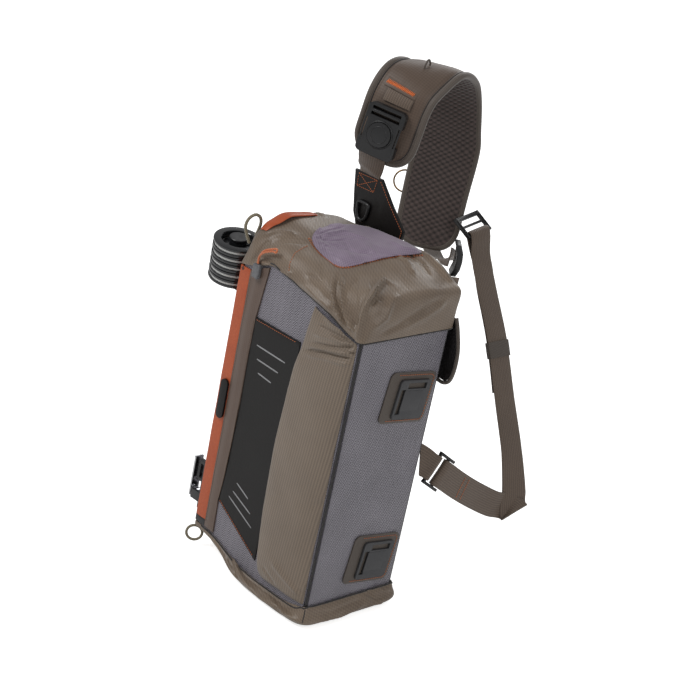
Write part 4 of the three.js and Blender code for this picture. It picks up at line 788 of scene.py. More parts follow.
foot_row = [(-74.5, -81, 92.5), (-34, -81, 70.5), (8, -81, 48)]
sew("panel_stitches_top", laid(top_row, panel_skin), 2.8, 1.0, 0.4)
sew("panel_stitches_foot", laid(foot_row, panel_skin), 2.8, 1.0, 0.4)

# Storm flap: a doubled strip of pack cloth beside the zip, edge-stitched in its own colour and
# standing a little off the wall.

# The pack cloth folded double and pressed, darker and browner than the hood
flap_cloth = woven("doubled_pack_cloth", [((1, 0, 0.1), 2.8, 0.3), ((0, 0, 1), 2.6, 0.2)],
                   0x54433A, 0x6B574A, 0.2, look=dict(cloud=0.2, crinkle=0.4), Roughness=0.5, Sheen_Weight=0.2)
# Bonded nylon thread dyed to the cloth, so that its rows show only as a fine edge
khaki_thread = woven("khaki_nylon_thread", STRANDS, 0x5C4B3E, 0x77634F, 0.1, Roughness=0.6)
flap = solid_copy("storm_flap", "storm_flap_cloth", join=1)
slice_up(flap, 0, 3)
slice_up(flap, 2, 6)
round_edges(flap, 0.8)
places = points_of(flap)
FLAP_FACE_Y = -0.0805
FLAP_MIDDLE = np.array([(42, -86), (91, -86), (168, -84), (306, -83), (360, -82.5), (430, -75)]) * MM
front = places[:, 1] < FLAP_FACE_Y
middle = np.interp(places[:, 2], FLAP_MIDDLE[:, 0], FLAP_MIDDLE[:, 1])
hold = np.exp(-((places[:, 0] - middle) / (7 * MM)) ** 2)
places[:, 1] -= front * (1.3 * hold + 0.5 * ripple(places, 24, 41)) * MM
set_points(flap, places)
shade(flap, 50)
seat(flap, flap_cloth, "khaki_cloth", "storm_flap", padded=0.2)
flap_skin = tree_of(flap)
FLAP_ROWS = [
    ("edge", [(-74.8, -82, 95), (-72.2, -82, 150), (-71.5, -82, 243), (-73.3, -82, 306), (-72.6, -82, 356)]),
    ("zip", [(-92.6, -82, 52), (-92.6, -82, 150), (-92.6, -82, 280), (-92.6, -82, 408)]),
]
for name, row in FLAP_ROWS:
    sew(f"flap_{name}_stitches", laid(row, flap_skin), 3.0, 1.2, 0.35, lift=0.15,
        material=khaki_thread, slot="khaki_cloth")

# Zip band: polyurethane-coated tape with its coil zip welded behind it, so only a thin lip shows
# down its middle. It is bent round the front left edge and again over the hood.

# Polyester tape under a burnt orange polyurethane film: a fine grain and cloudy wear
coated_tape = grained("coated_zip_tape", 1.8, 4.0, 0x983F20, 0xBC5B31, 0.1,
                      dict(cloud=0.3, cloud_mm=35, crinkle=0.2), Roughness=0.44, Specular_IOR_Level=0.45)


def sheath(name, sections, capped=True):
    """A skin through sections of equal numbers of points."""
    points = [p for section in sections for p in section]
    return new_piece(name, points, skin_faces(len(sections), len(sections[0]), capped=capped))


def band_sections(low, high, step):
    """Sections of the tape round the corner, its lip at the bend and its edges feathered."""
    outline = []
    for t in np.linspace(0, 1, 9):
        outline.append((-95 - 15.5 * t, -81.5 - 0.25 * math.sin(math.pi * t)))
    for turn in np.linspace(10, 80, 6):
        angle = math.radians(turn)
        outline.append((-112.5 - 4 * math.sin(angle), -77.5 - 4 * math.cos(angle)))
    for t in np.linspace(0, 1, 9):
        outline.append((-116.5 - 0.25 * math.sin(math.pi * t), -76.5 + 16.5 * t))
    inner = [(-114.35, -60.0), (-114.35, -75.3), (-112.3, -79.35), (-95.0, -79.35)]
    sections = []
    for z in np.linspace(low, high, max(int((high - low) / step), 2) + 1):
        drift = 0.35 * noise.noise(Vector((z / 40, 3.0, 1.0)))
        outer = [mm(x + drift, y + drift * 0.5, z) for x, y in outline]
        sections.append(outer + [mm(x, y, z) for x, y in inner])
    return sections


band = sheath("zip_band_front_tape", band_sections(52, 415, 6))
round_edges(band, 0.5, 2, 55)
shade(band, 50)
seat(band, coated_tape, "orange_band", "zip_band_front", padded=0.2)
lip = [(-116.4, -77.6, 54), (-116.2, -77.9, 150), (-116.5, -77.4, 280), (-116.3, -77.7, 412)]
seat(tube("zip_band_lip", [mm(*p) for p in lip], 0.9 * MM, 6 * MM, 8), coated_tape, "orange_band")

(eyelet_place, eyelet_way), (beside, _) = traced([(243, 268), (244, 268)], tree_of(band))[:2]
eyelet_across = (beside - eyelet_place).normalized()
eyelet_up = eyelet_way.cross(eyelet_across)
eyelet = [eyelet_place + (eyelet_across * c + eyelet_up * s) * 1.7 * MM for c, s in circle(12)]
seat(tube("zip_band_eyelet", eyelet, 0.7 * MM, 1 * MM, 8, closed=True), bias_tape, "piping")

# Injection-moulded black acetal with a fine spark-eroded grain, half matt
moulded_black = grained("moulded_acetal", 1.1, 4.0, 0x161617, 0x262628, 0.05,
                        dict(cloud=0.12, cloud_mm=12, crinkle=0.3), Roughness=0.36, Specular_IOR_Level=0.5)


def moulded(node, name=None, width=0.7, segments=3, material=moulded_black, slot="hard_plastic", body="bag"):
    """The node's solid with its moulded edges rounded."""
    piece = solid_copy(node, name or node + "_moulding", join=2)
    round_edges(piece, width, segments, 28)
    shade(piece, 32)
    return seat(piece, material, slot, node, body=body)


zip_end = sheath("zip_end_moulding", band_sections(43, 51.7, 3))
round_edges(zip_end, 0.6, 2, 55)
shade(zip_end, 50)
seat(zip_end, moulded_black, "hard_plastic", "zip_end_low")

top_band = solid_copy("zip_band_top", "zip_band_top_tape")
divide(top_band, 3)
# It is drawn shorter than its solid and narrowed towards both ends, as the photograph shows it
BAND_FRONT_Y, BAND_LONG, BAND_SHOWN, BAND_MIDDLE_X = -68, 130, 104, -0.0995
places = points_of(top_band)
share = np.clip((places[:, 1] / MM - BAND_FRONT_Y) / BAND_LONG, 0, 1)
places[:, 1] = (BAND_FRONT_Y + BAND_SHOWN * share) * MM
narrow = 1 - 0.75 * np.clip(share - 0.7, 0, 1) / 0.3 - 0.35 * np.clip(0.16 - share, 0, 1) / 0.16
places[:, 0] = BAND_MIDDLE_X + (places[:, 0] - BAND_MIDDLE_X) * narrow
places[:, 2] -= (2.4 * np.clip(share - 0.75, 0, 1) / 0.25 + 1.2 * np.clip(0.12 - share, 0, 1) / 0.12) * MM
set_points(top_band, places)
set_points(top_band, places + normals_of(top_band) * (ripple(places, 30, 51) * 0.5 * MM)[:, None])
shade(top_band, 60)
seat(top_band, coated_tape, "orange_band", "zip_band_top", padded=0.2)
coil_course = [(-99, -62, 470), (-99.5, -40, 478), (-99.5, -20, 482), (-99.5, 4, 482), (-99, 26, 480)]
coil_line = laid(coil_course, tree_of(top_band))
sew("zip_coil_top", coil_line, stitch=1.6, gap=0.6, radius=0.8, lift=0.2, material=bias_tape, slot="piping")

# Oval tab: a soft rubber guard that is pushed over the edge of the zip band, half way down,
# where the slider rubs.
moulded("oval_tab", width=1.2, material=rubber_cloth, slot="dark_panel")

# Lash tabs: a patch of the strap cloth welded to the grey side and stitched in orange round its
# edge, with a moulded plate on it. Two slots in each plate take a strap or a tool.

# Dense polyester cloth in a plain weave: two equal crossing ribs, dull and a little fuzzy
strap_cloth = woven("dense_strap_cloth", [((0.3, 1, 0.2), 2.4, 0.3), ((0.2, -0.2, 1), 2.4, 0.3)],
                    0x433A33, 0x5A5047, 0.15, look=dict(cloud=0.2, crinkle=0.4), Roughness=0.62, Sheen_Weight=0.3)
# Charcoal polyurethane, moulded with a fine matt texture, paler than the buckles
tab_rubber = grained("moulded_polyurethane", 1.2, 4.0, 0x303032, 0x47474A, 0.05,
                     dict(cloud=0.12, cloud_mm=12, crinkle=0.3), Roughness=0.5, Specular_IOR_Level=0.45)
TABS = [("upper", 25, 314, -6.5), ("lower", 25, 80, -7.5)]
PATCH_FACE_X, PLATE_FACE_X, FACE_DEPTH = 116.3, 119.9, 0.6
TAB_RIM = [(-30, -31.5), (34, -31.5), (37.5, -29), (38.5, -25), (38.5, 25), (37.5, 29), (34, 31.5), (-30, 31.5)]
PLATE_FACE = [(-13, -17), (21, -17), (21, 11), (-13, 11)]
for name, y, z, turn in TABS:
    moulded("tab_patch_" + name, "tab_patch_" + name + "_cloth", 0.6, 2, strap_cloth, "strap_cloth")
    plate = solid_copy("tab_plate_" + name, "tab_plate_" + name + "_moulding", join=2)
    round_edges(plate, 1.1, 3, 40)
    shade(plate, 32)
    seat(plate, tab_rubber, "hard_plastic", "tab_plate_" + name)
    swing = math.radians(turn)

    def on_patch(across, up, out):
        """A place on the turned tab, out at a depth from the middle of the bag."""
        c, s = math.cos(swing), math.sin(swing)
        return (out, y + across * c - up * s, z + across * s + up * c)

    rim = [(mm(*on_patch(a, b, PATCH_FACE_X)), Vector((1, 0, 0))) for a, b in TAB_RIM]
    line = []
    for (a, normal), (b, _) in zip(rim, rim[1:]):
        line += [(a.lerp(b, t), normal) for t in np.linspace(0, 1, 12)]
    sew("tab_stitches_" + name, line, stitch=2.6, gap=1.2, radius=0.5, lift=0.1)
    corners = [mm(*on_patch(a, b, PLATE_FACE_X - depth)) for depth in (0, FACE_DEPTH) for a, b in PLATE_FACE]
    face = new_piece("tab_plate_face_" + name, corners,
                     [(0, 1, 2, 3), (7, 6, 5, 4), (0, 4, 5, 1), (1, 5, 6, 2), (2, 6, 7, 3), (3, 7, 4, 0)])
    apply_modifier(face, "BEVEL", width=1.5 * MM, segments=3, limit_method="ANGLE", affect="VERTICES")
    apply_modifier(face, "BEVEL", width=0.25 * MM, segments=2, limit_method="ANGLE")
    shade(face, 32)
    seat(face, tab_rubber, "hard_plastic")

# Padded back: spacer mesh over foam, quilted in three columns of three cells that swell between
# the seams. A wing with a bound edge stands out at its upper right corner.

# Knitted polyester spacer mesh: dark round holes in a brown face, soft and without gloss
spacer_mesh, tree, bsdf = blank_material("spacer_mesh", Roughness=0.8, Sheen_Weight=0.35)
at = add_node(tree, "TexCoord", {}).outputs["Object"]
holes = add_node(tree, "TexVoronoi", {"Vector": at, "Scale": 1000 / 3.4, "Randomness": 0.25})
dress(tree, bsdf, holes.outputs["Distance"], at, 0x1D1919, 0x423937, 0.5, cloud=0.15, crinkle=0.2)


def inflate(piece, voxel_mm, cap_mm, pressure=4.0):
    """Swells the piece as cloth under a little pressure, no point moving further than the cap."""
    apply_modifier(piece, "REMESH", mode="VOXEL", voxel_size=voxel_mm * MM)
    before = points_of(piece)
    cloth = piece.modifiers.new("cloth", "CLOTH")
    cloth.settings.use_pressure = True
    cloth.settings.uniform_pressure_force = pressure
    cloth.settings.effector_weights.gravity = 0
    for number in range(1, 21):
        bpy.context.scene.frame_set(number)
    shown = piece.evaluated_get(bpy.context.evaluated_depsgraph_get())
    after = np.array([list(v.co) for v in shown.data.vertices])
    piece.modifiers.remove(cloth)
    bpy.context.scene.frame_set(1)
    move = after - before
    far = np.linalg.norm(move, axis=1, keepdims=True)
    set_points(piece, before + move * np.minimum(1, cap_mm * MM / np.maximum(far, 1e-9)))


back = solid_copy("back_pad", "back_pad_mesh", join=20)
CHANNELS_X, CHANNELS_Z, CHANNEL_WIDTH, CHANNEL_DEPTH = (-36, 36), (150, 262), 4.5, 3.2
BACK_FACE_Y, SWELL_ROOM, BACK_INNER_Y = 81.0, 2.0, 0.0793
places = points_of(back)
places[:, 1] -= (places[:, 1] > BACK_FACE_Y * MM) * SWELL_ROOM * MM
set_points(back, places)
inflate(back, 5, 5)
divide(back, 1)
places = points_of(back)
outer = np.clip((places[:, 1] / MM - 81.5) / 3, 0, 1)
channel = np.zeros(len(places))
for x in CHANNELS_X:
    channel += np.exp(-((places[:, 0] / MM - x) / CHANNEL_WIDTH) ** 2)
for z in CHANNELS_Z:
    channel += 0.8 * np.exp(-((places[:, 2] / MM - z) / CHANNEL_WIDTH) ** 2)
places[:, 1] -= outer * np.clip(channel, 0, 1) * CHANNEL_DEPTH * MM
places[:, 1] = np.maximum(places[:, 1], BACK_INNER_Y)
set_points(back, places)
shade(back, 60)
seat(back, spacer_mesh, "pad_mesh", "back_pad", padded=0.6)

wing = moulded("back_wing", "back_wing_cloth", 1.0, 3, rubber_cloth, "dark_panel")
places = points_of(wing)
places[:, 0] += np.clip((places[:, 0] / MM - 112) / 11, 0, 1) * 4.6 * MM
set_points(wing, places)
# Nylon grosgrain binding, folded over an edge: fine ribs along it and a soft sheen
smooth_tape = woven("woven_binding_tape", [((1, 0, 0), 2.4, 0.35), ((0.3, 1, 0), 2.6, 0.2)],
                    0x463D36, 0x62574E, 0.12, "UV", dict(cloud=0.15, crinkle=0.3),
                    Roughness=0.6, Sheen_Weight=0.35)
WING_EDGE = [(106, 326.6), (117, 326.2), (127, 333), (131, 352), (129.5, 376), (122, 400), (115, 415)]
seat(tube("back_wing_tape", [mm(x, 85, z) for x, z in WING_EDGE], 2.6 * MM), smooth_tape, "webbing",
     "back_wing_binding")

# Shoulder pad: foam between a ripstop face and a quilted mesh lining, laid along a curve that
# rises from the bag, turns over and comes down behind it. A wide tape binds its edge.
# Rows of length along the pad, centre, way across, way out and width
PAD_COURSE = [
    (-8, (-64, 78.5, 562), (0.920, 0.370, -0.132), (0.375, -0.927, 0.011), 88),
    (35, (-59, 81, 604), (0.903, 0.412, -0.123), (0.422, -0.904, 0.068), 88),
    (78, (-57, 88, 645), (0.897, 0.396, -0.195), (0.441, -0.829, 0.345), 88),
    (112, (-57, 106, 669), (0.928, 0.256, -0.271), (0.367, -0.505, 0.781), 88),
    (155, (-62, 146, 680), (0.973, 0.223, 0.061), (-0.084, 0.093, 0.992), 90),
    (198, (-74, 182, 660), (0.863, 0.466, 0.196), (-0.434, 0.482, 0.761), 92),
    (238, (-83, 206, 631), (0.795, 0.576, 0.190), (-0.587, 0.652, 0.479), 92),
    (290, (-86, 222, 588), (0.760, 0.628, 0.166), (-0.649, 0.721, 0.242), 92),
    (319, (-86, 229, 559), (0.744, 0.664, 0.068), (-0.668, 0.742, 0.062), 92),
    (376, (-85, 226, 503), (0.745, 0.667, -0.019), (-0.663, 0.737, -0.133), 90),
    (429, (-78, 217, 451), (0.750, 0.660, -0.036), (-0.636, 0.706, -0.312), 88),
    (456, (-72, 208, 427), (0.758, 0.650, -0.054), (-0.611, 0.679, -0.407), 85),
]
PAD_FROM, PAD_TO, PAD_END_RADIUS = -8.0, 456.0, 34.0
course_s = np.array([row[0] for row in PAD_COURSE], float)


def rounded_table(values, at):
    """A smooth curve through a table of values, read at one length."""
    values = np.array(values, float)
    k = int(np.clip(np.searchsorted(course_s, at) - 1, 0, len(course_s) - 2))
    t = (at - course_s[k]) / (course_s[k + 1] - course_s[k])
    p = [values[min(max(k + j - 1, 0), len(values) - 1)] for j in range(4)]
    return catmull(p, t)


def pad_frame(s):
    """Centre, way across and way out of the pad at a length along it, in mm."""
    centre = rounded_table([row[1] for row in PAD_COURSE], s)
    across = rounded_table([row[2] for row in PAD_COURSE], s)
    out = rounded_table([row[3] for row in PAD_COURSE], s)
    across = across / np.linalg.norm(across)
    out = out - across * out.dot(across)
    return centre, across, out / np.linalg.norm(out)


def pad_half(s, inset):
    """Half the pad's width at a length along it, round at its two ends."""
    radius = PAD_END_RADIUS - inset
    to_end = min(s - PAD_FROM, PAD_TO - s) - inset
    half = float(rounded_table([row[4] for row in PAD_COURSE], s)) / 2 - inset
    if to_end >= radius:
        return half
    return half - radius + math.sqrt(max(radius ** 2 - (radius - to_end) ** 2, 0))


def on_pad(s, w, n):
    """A place on the pad: along it, across it and out of its face, in mm."""
    centre, across, out = pad_frame(s)
    return Vector(centre + across * w + out * n) * MM


def pad_lengths(inset, spacing):
    """Lengths along the pad, close together round its two ends."""
    reach = PAD_END_RADIUS - inset
    ends = [reach * (1 - math.cos(math.radians(a))) for a in (0, 8, 16, 25, 35, 45, 57, 70, 80)]
    low = [PAD_FROM + inset + e + 0.01 for e in ends]
    high = [PAD_TO - inset - e - 0.01 for e in reversed(ends)]
    middle = list(np.linspace(low[-1], high[0], int((high[0] - low[-1]) / spacing) + 2)[1:-1])
    return low + middle + high


def sheet_faces(rows, columns):
    """Faces of two sheets of rows of points, one after the other, joined round their edge."""
    size = rows * columns
    faces = []
    for k in range(rows - 1):
        for j in range(columns - 1):
            a = k * columns + j
            faces.append((a, a + 1, a + columns + 1, a + columns))
            faces.append((size + a, size + a + columns, size + a + columns + 1, size + a + 1))
        for a in (k * columns, k * columns + columns - 1):
            faces.append((a, a + columns, size + a + columns, size + a))
    for k in (0, rows - 1):
        for a in range(k * columns, k * columns + columns - 1):
            faces.append((a, a + 1, size + a + 1, size + a))
    return faces


def pad_skin(name, inset, columns, spacing, top, bottom):
    """A closed piece over the pad's plan, from the heights of its two faces at (s, u)."""
    lengths = pad_lengths(inset, spacing)
    across = [math.sin(a) for a in np.linspace(-math.pi / 2, math.pi / 2, columns)]
    across = [0.35 * a + 0.65 * b for a, b in zip(across, np.linspace(-1, 1, columns))]
    points, uvs = [], []
    for height in (top, bottom):
        for s in lengths:
            half = pad_half(s, inset)
            for u in across:
                w = u * half
                points.append(on_pad(s, w, height(s, u, w)))
                uvs.append((w * MM, s * MM))
    piece = new_piece(name, points, sheet_faces(len(lengths), columns), uvs)
    shade(piece, 55)
    return piece


# Brown nylon ripstop: a square grid of thicker yarns, drawn 3.4 mm apart
ripstop = woven("brown_ripstop", [((1, 0, 0), 3.4, 0.25), ((0, 1, 0), 3.4, 0.25)], 0x4A3B30, 0x675344, 0.22,
                "UV", dict(cloud=0.2, crinkle=0.4), Roughness=0.52, Sheen_Weight=0.25)
PAD_INSET = 6.9


def pad_top(s, u, w):
    """The pad's outer face: padded, with a seam line inside its edge and soft wrinkles."""
    height = 4.5 + 4.5 * (1 - abs(u) ** 3)
    seam = math.exp(-((pad_half(s, PAD_INSET) * (1 - abs(u)) - 4) / 1.6) ** 2)
    soft = noise.noise(Vector((w / 26, s / 34, 2.0))) * 0.9 + noise.noise(Vector((w / 9, s / 12, 7.0))) * 0.25
    return height - 1.6 * seam + soft * (1 - abs(u) ** 4)


seat(pad_skin("shoulder_pad_face", PAD_INSET, 33, 4, pad_top, lambda s, u, w: 0.0), ripstop, "strap_cloth",
     "shoulder_pad", padded=0.7)

# The spacer mesh of the lining, quilted in diamonds: dark along the rows, paler between them
lining_mesh, tree, bsdf = blank_material("quilted_spacer_mesh", Roughness=0.85, Sheen_Weight=0.3)
at = add_node(tree, "TexCoord", {}).outputs["UV"]
QUILT = (11.0, 7.6)
quilt_pitch = 1 / math.hypot(1 / QUILT[0], 1 / QUILT[1])
rows = ribbed(tree, at, [((way / QUILT[0], 1 / QUILT[1], 0), quilt_pitch, 0.4) for way in (1, -1)])
holes = add_node(tree, "TexVoronoi", {"Vector": at, "Scale": 1000 / 2.2, "Randomness": 0.2})
net = add_node(tree, "Math", {0: holes.outputs["Distance"], 1: 0.3, 2: rows}, operation="MULTIPLY_ADD")
dress(tree, bsdf, net.outputs[0], at, 0x191413, 0x5A4C48, 0.3, cloud=0.15, crinkle=0.2)


def quilting(s, u, w):
    """Soft diamonds between two sets of slanting quilting rows."""
    rows = [math.sin(math.pi * (s / QUILT[1] + way * w / QUILT[0] + 0.25)) for way in (1, -1)]
    return -1.9 - 1.9 * math.sqrt(abs(rows[0] * rows[1])) * (1 - abs(u) ** 8)


seat(pad_skin("shoulder_pad_lining", PAD_INSET - 1.6, 65, 1.7, lambda s, u, w: -0.3, quilting),
     lining_mesh, "pad_mesh", "pad_lining", padded=0.4)

binding_line, groove_shade_line = [], []
for side in (-1, 1):
    lengths = pad_lengths(PAD_INSET, 8)
    for s in lengths if side < 0 else lengths[::-1]:
        half = pad_half(s, PAD_INSET)
        step = 0.5
        wider = pad_half(min(s + step, PAD_TO - PAD_INSET), PAD_INSET)
        narrower = pad_half(max(s - step, PAD_FROM + PAD_INSET), PAD_INSET)
        turn = math.atan2(-(wider - narrower) / (2 * step), 1.0)
        binding_line.append(on_pad(s + 2.4 * math.sin(turn), side * (half + 2.4 * math.cos(turn)), 1.6))
        groove_shade_line.append(on_pad(s - 2.2 * math.sin(turn), side * (half - 2.2 * math.cos(turn)), 4.7))
tape = tube("shoulder_pad_binding", binding_line, 4.6 * MM, 4 * MM, 14, closed=True)
seat(tape, smooth_tape, "strap_cloth", "pad_binding")
# A thin black cord inside the binding, all round the pad: painted shade, standing for the shadow in the groove
# between the binding and the pad's face.
seat(tube("shoulder_pad_groove_shade", groove_shade_line, 0.8 * MM, 4 * MM, 6, closed=True), bias_tape, "piping")

# Webbing: polypropylene strap woven with ribs along it, 38 mm wide. Each run is modelled as it
# lies, with soft edges and a slight cup across its width.


def strap(name, rows, width, thick=1.8, spacing=5.0, cup=0.35, seed=1):
    """A run of webbing through rows of (centre, across, out[, width]) in mm, with UV in metres."""
    centres = [Vector(row[0]) for row in rows]
    lengths = np.concatenate([[0], np.cumsum([(b - a).length for a, b in zip(centres, centres[1:])])])
    wanted = [0.0]
    for a, b in zip(lengths, lengths[1:]):
        count = max(int(round((b - a) / spacing)), 1)
        wanted += [a + (b - a) * (j + 1) / count for j in range(count)]
    points, uvs = [], []
    under = [(-1, -0.25), (-0.985, -0.8), (-0.9, -1), (-0.45, -1), (0, -1), (0.45, -1), (0.9, -1), (0.985, -0.8),
             (1, -0.25)]
    section = under + [(-u, -n) for u, n in under]
    for s in wanted:
        k = int(np.clip(np.searchsorted(lengths, s, side="right") - 1, 0, len(rows) - 2))
        t = (s - lengths[k]) / max(lengths[k + 1] - lengths[k], 1e-6)
        p = [centres[min(max(k + j - 1, 0), len(rows) - 1)] for j in range(4)]
        spans = [max((p[j + 1] - p[j]).length, 1e-6) for j in range(3)]
        m1 = ((p[1] - p[0]) / spans[0] * spans[1] + (p[2] - p[1])) * 0.5 if k else p[2] - p[1]
        m2 = ((p[2] - p[1]) + (p[3] - p[2]) / spans[2] * spans[1]) * 0.5 if k < len(rows) - 2 else p[2] - p[1]
        place = (p[1] * (2 * t ** 3 - 3 * t ** 2 + 1) + m1 * (t ** 3 - 2 * t ** 2 + t)
                 + p[2] * (-2 * t ** 3 + 3 * t ** 2) + m2 * (t ** 3 - t ** 2))
        across = Vector(rows[k][1]).lerp(Vector(rows[k + 1][1]), t)
        stretch = Vector(rows[k][1]).length * (1 - t) + Vector(rows[k + 1][1]).length * t
        out = Vector(rows[k][2]).lerp(Vector(rows[k + 1][2]), t).normalized()
        across = across.normalized() * stretch
        wide = [row[3] if len(row) > 3 else width for row in (rows[k], rows[k + 1])]
        half = (wide[0] * (1 - t) + wide[1] * t) / 2
        for u, n in section:
            bend = -cup * (u * u - 0.3) + 0.2 * noise.noise(Vector((u * 1.3, s / 30, seed)))
            points.append((place + across * (u * half) + out * (n * thick / 2 + bend)) * MM)
            uvs.append((u * half * MM, s * MM))
    piece = new_piece(name, points, skin_faces(len(wanted), len(section)), uvs)
    shade(piece, 55)
    return piece


# Polypropylene webbing: strong ribs along it, crossed by fine picks, with a dry sheen
webbing = woven("ribbed_polypropylene_webbing", [((1, 0, 0), 3.2, 0.5), ((0.25, 1, 0), 2.2, 0.22)],
                0x4C3E33, 0x705E4F, 0.3, "UV", dict(cloud=0.15, crinkle=0.35), Roughness=0.55, Sheen_Weight=0.3)
# Rows of centre, way across and way out, and here and there another width
MAIN = [
    ((76.1, 265.6, 266.2), (0.037, 0.999, 0.022), (-0.899, 0.043, -0.436)),
    ((60.8, 263.7, 302.5), (0.029, 1, 0.004), (-0.893, 0.028, -0.449)),
    ((44.7, 263.3, 334.4), (-0.005, 0.999, 0.04), (-0.88, 0.014, -0.474)),
    ((28.2, 264.1, 360.1), (-0.029, 0.997, 0.065), (-0.867, 0.008, -0.498)),
    ((8.8, 265, 388.7), (-0.018, 0.999, 0.032), (-0.869, 0, -0.495)),
    ((-6.2, 263.3, 420.1), (-0.005, 1, 0.008), (-0.868, 0, -0.497)),
    ((-15.5, 259.1, 439.7), (-0.006, 1, 0.01), (-0.868, 0, -0.496)),
    ((-26.7, 258.1, 460.9), (-0.062, 0.983, 0.17), (-0.871, 0.03, -0.491)),
    ((-27.1, 257.6, 464.1), (-0.062, 0.983, 0.17), (-0.961, -0.105, 0.257)),
    ((-25.1, 257.2, 466.6), (-0.062, 0.983, 0.17), (-0.488, -0.179, 0.854)),
    ((-21.9, 257.4, 467), (-0.062, 0.983, 0.17), (0.27, -0.148, 0.951)),
    ((-19.3, 257.9, 465.1), (-0.062, 0.983, 0.17), (0.871, -0.03, 0.491)),
    ((-8.8, 258.2, 434.5), (-0.004, 1, 0.008), (0.868, 0, 0.497)),
    ((15.3, 259, 392.2), (-0.018, 0.999, 0.032), (0.869, 0, 0.495)),
    ((32.5, 261.1, 362.4), (-0.029, 0.997, 0.065), (0.867, -0.008, 0.498)),
    ((49.4, 263, 332.2), (0, 0.999, 0.033), (0.883, -0.015, 0.47)),
    ((67.9, 263.1, 295.9), (0.033, 0.999, 0.003), (0.895, -0.031, 0.445)),
    ((86.4, 263, 258.2), (0.033, 0.999, 0.04), (0.899, -0.047, 0.434)),
    ((101.8, 264.5, 226.1), (0.041, 0.996, 0.078), (0.903, -0.071, 0.424)),
    ((116.4, 266, 194.2), (0.08, 0.995, 0.057), (0.915, -0.096, 0.392)),
    ((128.9, 266.2, 163.6), (0.2, 0.977, 0.076), (0.909, -0.214, 0.357)),
    ((137.3, 265.9, 141.1), (0.298, 0.951, 0.087), (0.895, -0.31, 0.32)),
    ((145, 265, 114), (0.238, 0.82, 0.521), (0.865, -0.422, 0.27), 42.9),
    ((146.4, 265.2, 113), (0.238, 0.82, 0.521), (0.051, -0.546, 0.836), 42.9),
    ((147.9, 264.5, 113.5), (0.238, 0.82, 0.521), (-0.815, -0.124, 0.566), 42.9),
    ((147.9, 263.6, 114.9), (0.238, 0.82, 0.521), (-0.865, 0.422, -0.27), 42.9),
    ((136.8, 257.5, 118.5), (-0.082, 0.363, 0.928), (-0.914, 0.343, -0.215)),
    ((133.5, 232, 126), (0.002, 0.371, 0.929), (-0.996, 0.087, -0.033)),
    ((131, 200, 141.5), (0.002, 0.458, 0.889), (-0.999, 0.044, -0.02)),
    ((130, 168, 159), (0.001, 0.498, 0.867), (-0.999, 0.032, -0.017)),
    ((128.5, 140, 176), (0, 0.53, 0.848), (-0.999, 0.041, -0.025)),
    ((127.5, 124, 186.5), (0, 0.548, 0.836), (-0.999, 0.045, -0.029)),
    ((126.7, 115.6, 191.9), (0, 0.548, 0.836), (-0.999, 0.045, -0.029)),
    ((125.2, 113.2, 193.4), (0, 0.548, 0.836), (-0.669, 0.622, -0.407)),
    ((122.2, 112.3, 194), (0, 0.548, 0.836), (0.053, 0.835, -0.547)),
    ((119.2, 113.4, 193.3), (0, 0.548, 0.836), (0.744, 0.558, -0.366)),
    ((118.2, 116, 191.6), (0, 0.548, 0.836), (0.999, -0.045, 0.029)),
    ((123.7, 125.9, 185.3), (0, 0.548, 0.836), (0.999, -0.045, 0.029)),
    ((125.4, 132.5, 181), (0, 0.548, 0.836), (0.999, -0.045, 0.029)),
]
main_strap = seat(strap("main_webbing_strap", MAIN, 38), webbing, "webbing", "main_webbing")
strap_skin = tree_of(main_strap)
for number, (low, high) in enumerate([((134, 151, 152), (134, 162, 183)), ((134, 160, 147), (134, 171, 178))]):
    middle = tuple((p + q) / 2 for p, q in zip(low, high))
    sew(f"rising_strand_stitches_{number + 1}", laid([low, middle, high], strap_skin), 2.6, 0.8, 0.5, lift=0.2)

# Keeper: a short loop of dense strap cloth that holds the strap's free tail flat on the strand.
# It is pulled tight, so its section is a rectangle with soft corners.
KEEPER = ((54.9, 263.2, 320.8), (0.015, 1, 0.016), (-0.888, 0.02, -0.46))
keeper_centre, keeper_across, keeper_out = (Vector(v) for v in KEEPER)
keeper_along = keeper_out.cross(keeper_across)
sections = []
for y in np.linspace(-11, 11, 7):
    ring = []
    for k in range(44):
        angle = 2 * math.pi * k / 44
        c, d = math.cos(angle), math.sin(angle)
        w = 20.6 * math.copysign(abs(c) ** 0.18, c) + 0.3 * noise.noise(Vector((c * 2, y / 6, 4)))
        n = 1.25 + 4.1 * math.copysign(abs(d) ** 0.3, d) + 0.25 * noise.noise(Vector((c * 3, y / 5, 8)))
        ring.append((keeper_centre + keeper_across * w + keeper_out * n + keeper_along * y) * MM)
    sections.append(ring)
keeper = sheath("webbing_keeper_loop", sections, capped=False)
apply_modifier(keeper, "SOLIDIFY", thickness=1.3 * MM, offset=-1)
shade(keeper, 50)
seat(keeper, strap_cloth, "strap_cloth", "webbing_keeper")

# Lock and buckles: moulded acetal frames that the webbing turns round. Their edges are rounded
# and a ridge runs along each side rail.
moulded("lock", width=1.0)
moulded("lower_buckle", width=1.0)


def in_frame(centre, across, out):
    """A matrix from a part's own axes in mm, x across and z out of its face, to its place."""
    across, out = Vector(across).normalized(), Vector(out).normalized()
    turn = Matrix((across, out.cross(across), out)).transposed().to_4x4()
    return Matrix.Translation(mm(*centre)) @ turn @ Matrix.Scale(MM, 4)


def ridge(name, place, low, high, across, height, width=1.6):
    """A raised rounded bar along a moulding, from low to high along it."""
    bpy.ops.mesh.primitive_cube_add(size=1)
    bar = bpy.context.object
    bar.name = name
    middle = Matrix.Translation((across, (low + high) / 2, height))
    bar.data.transform(middle @ Matrix.Diagonal((width, high - low, 1.2, 1)))
    bar.data.transform(place)
    apply_modifier(bar, "BEVEL", width=0.45 * MM, segments=3)
    shade(bar, 32)
    return seat(bar, moulded_black, "hard_plastic")


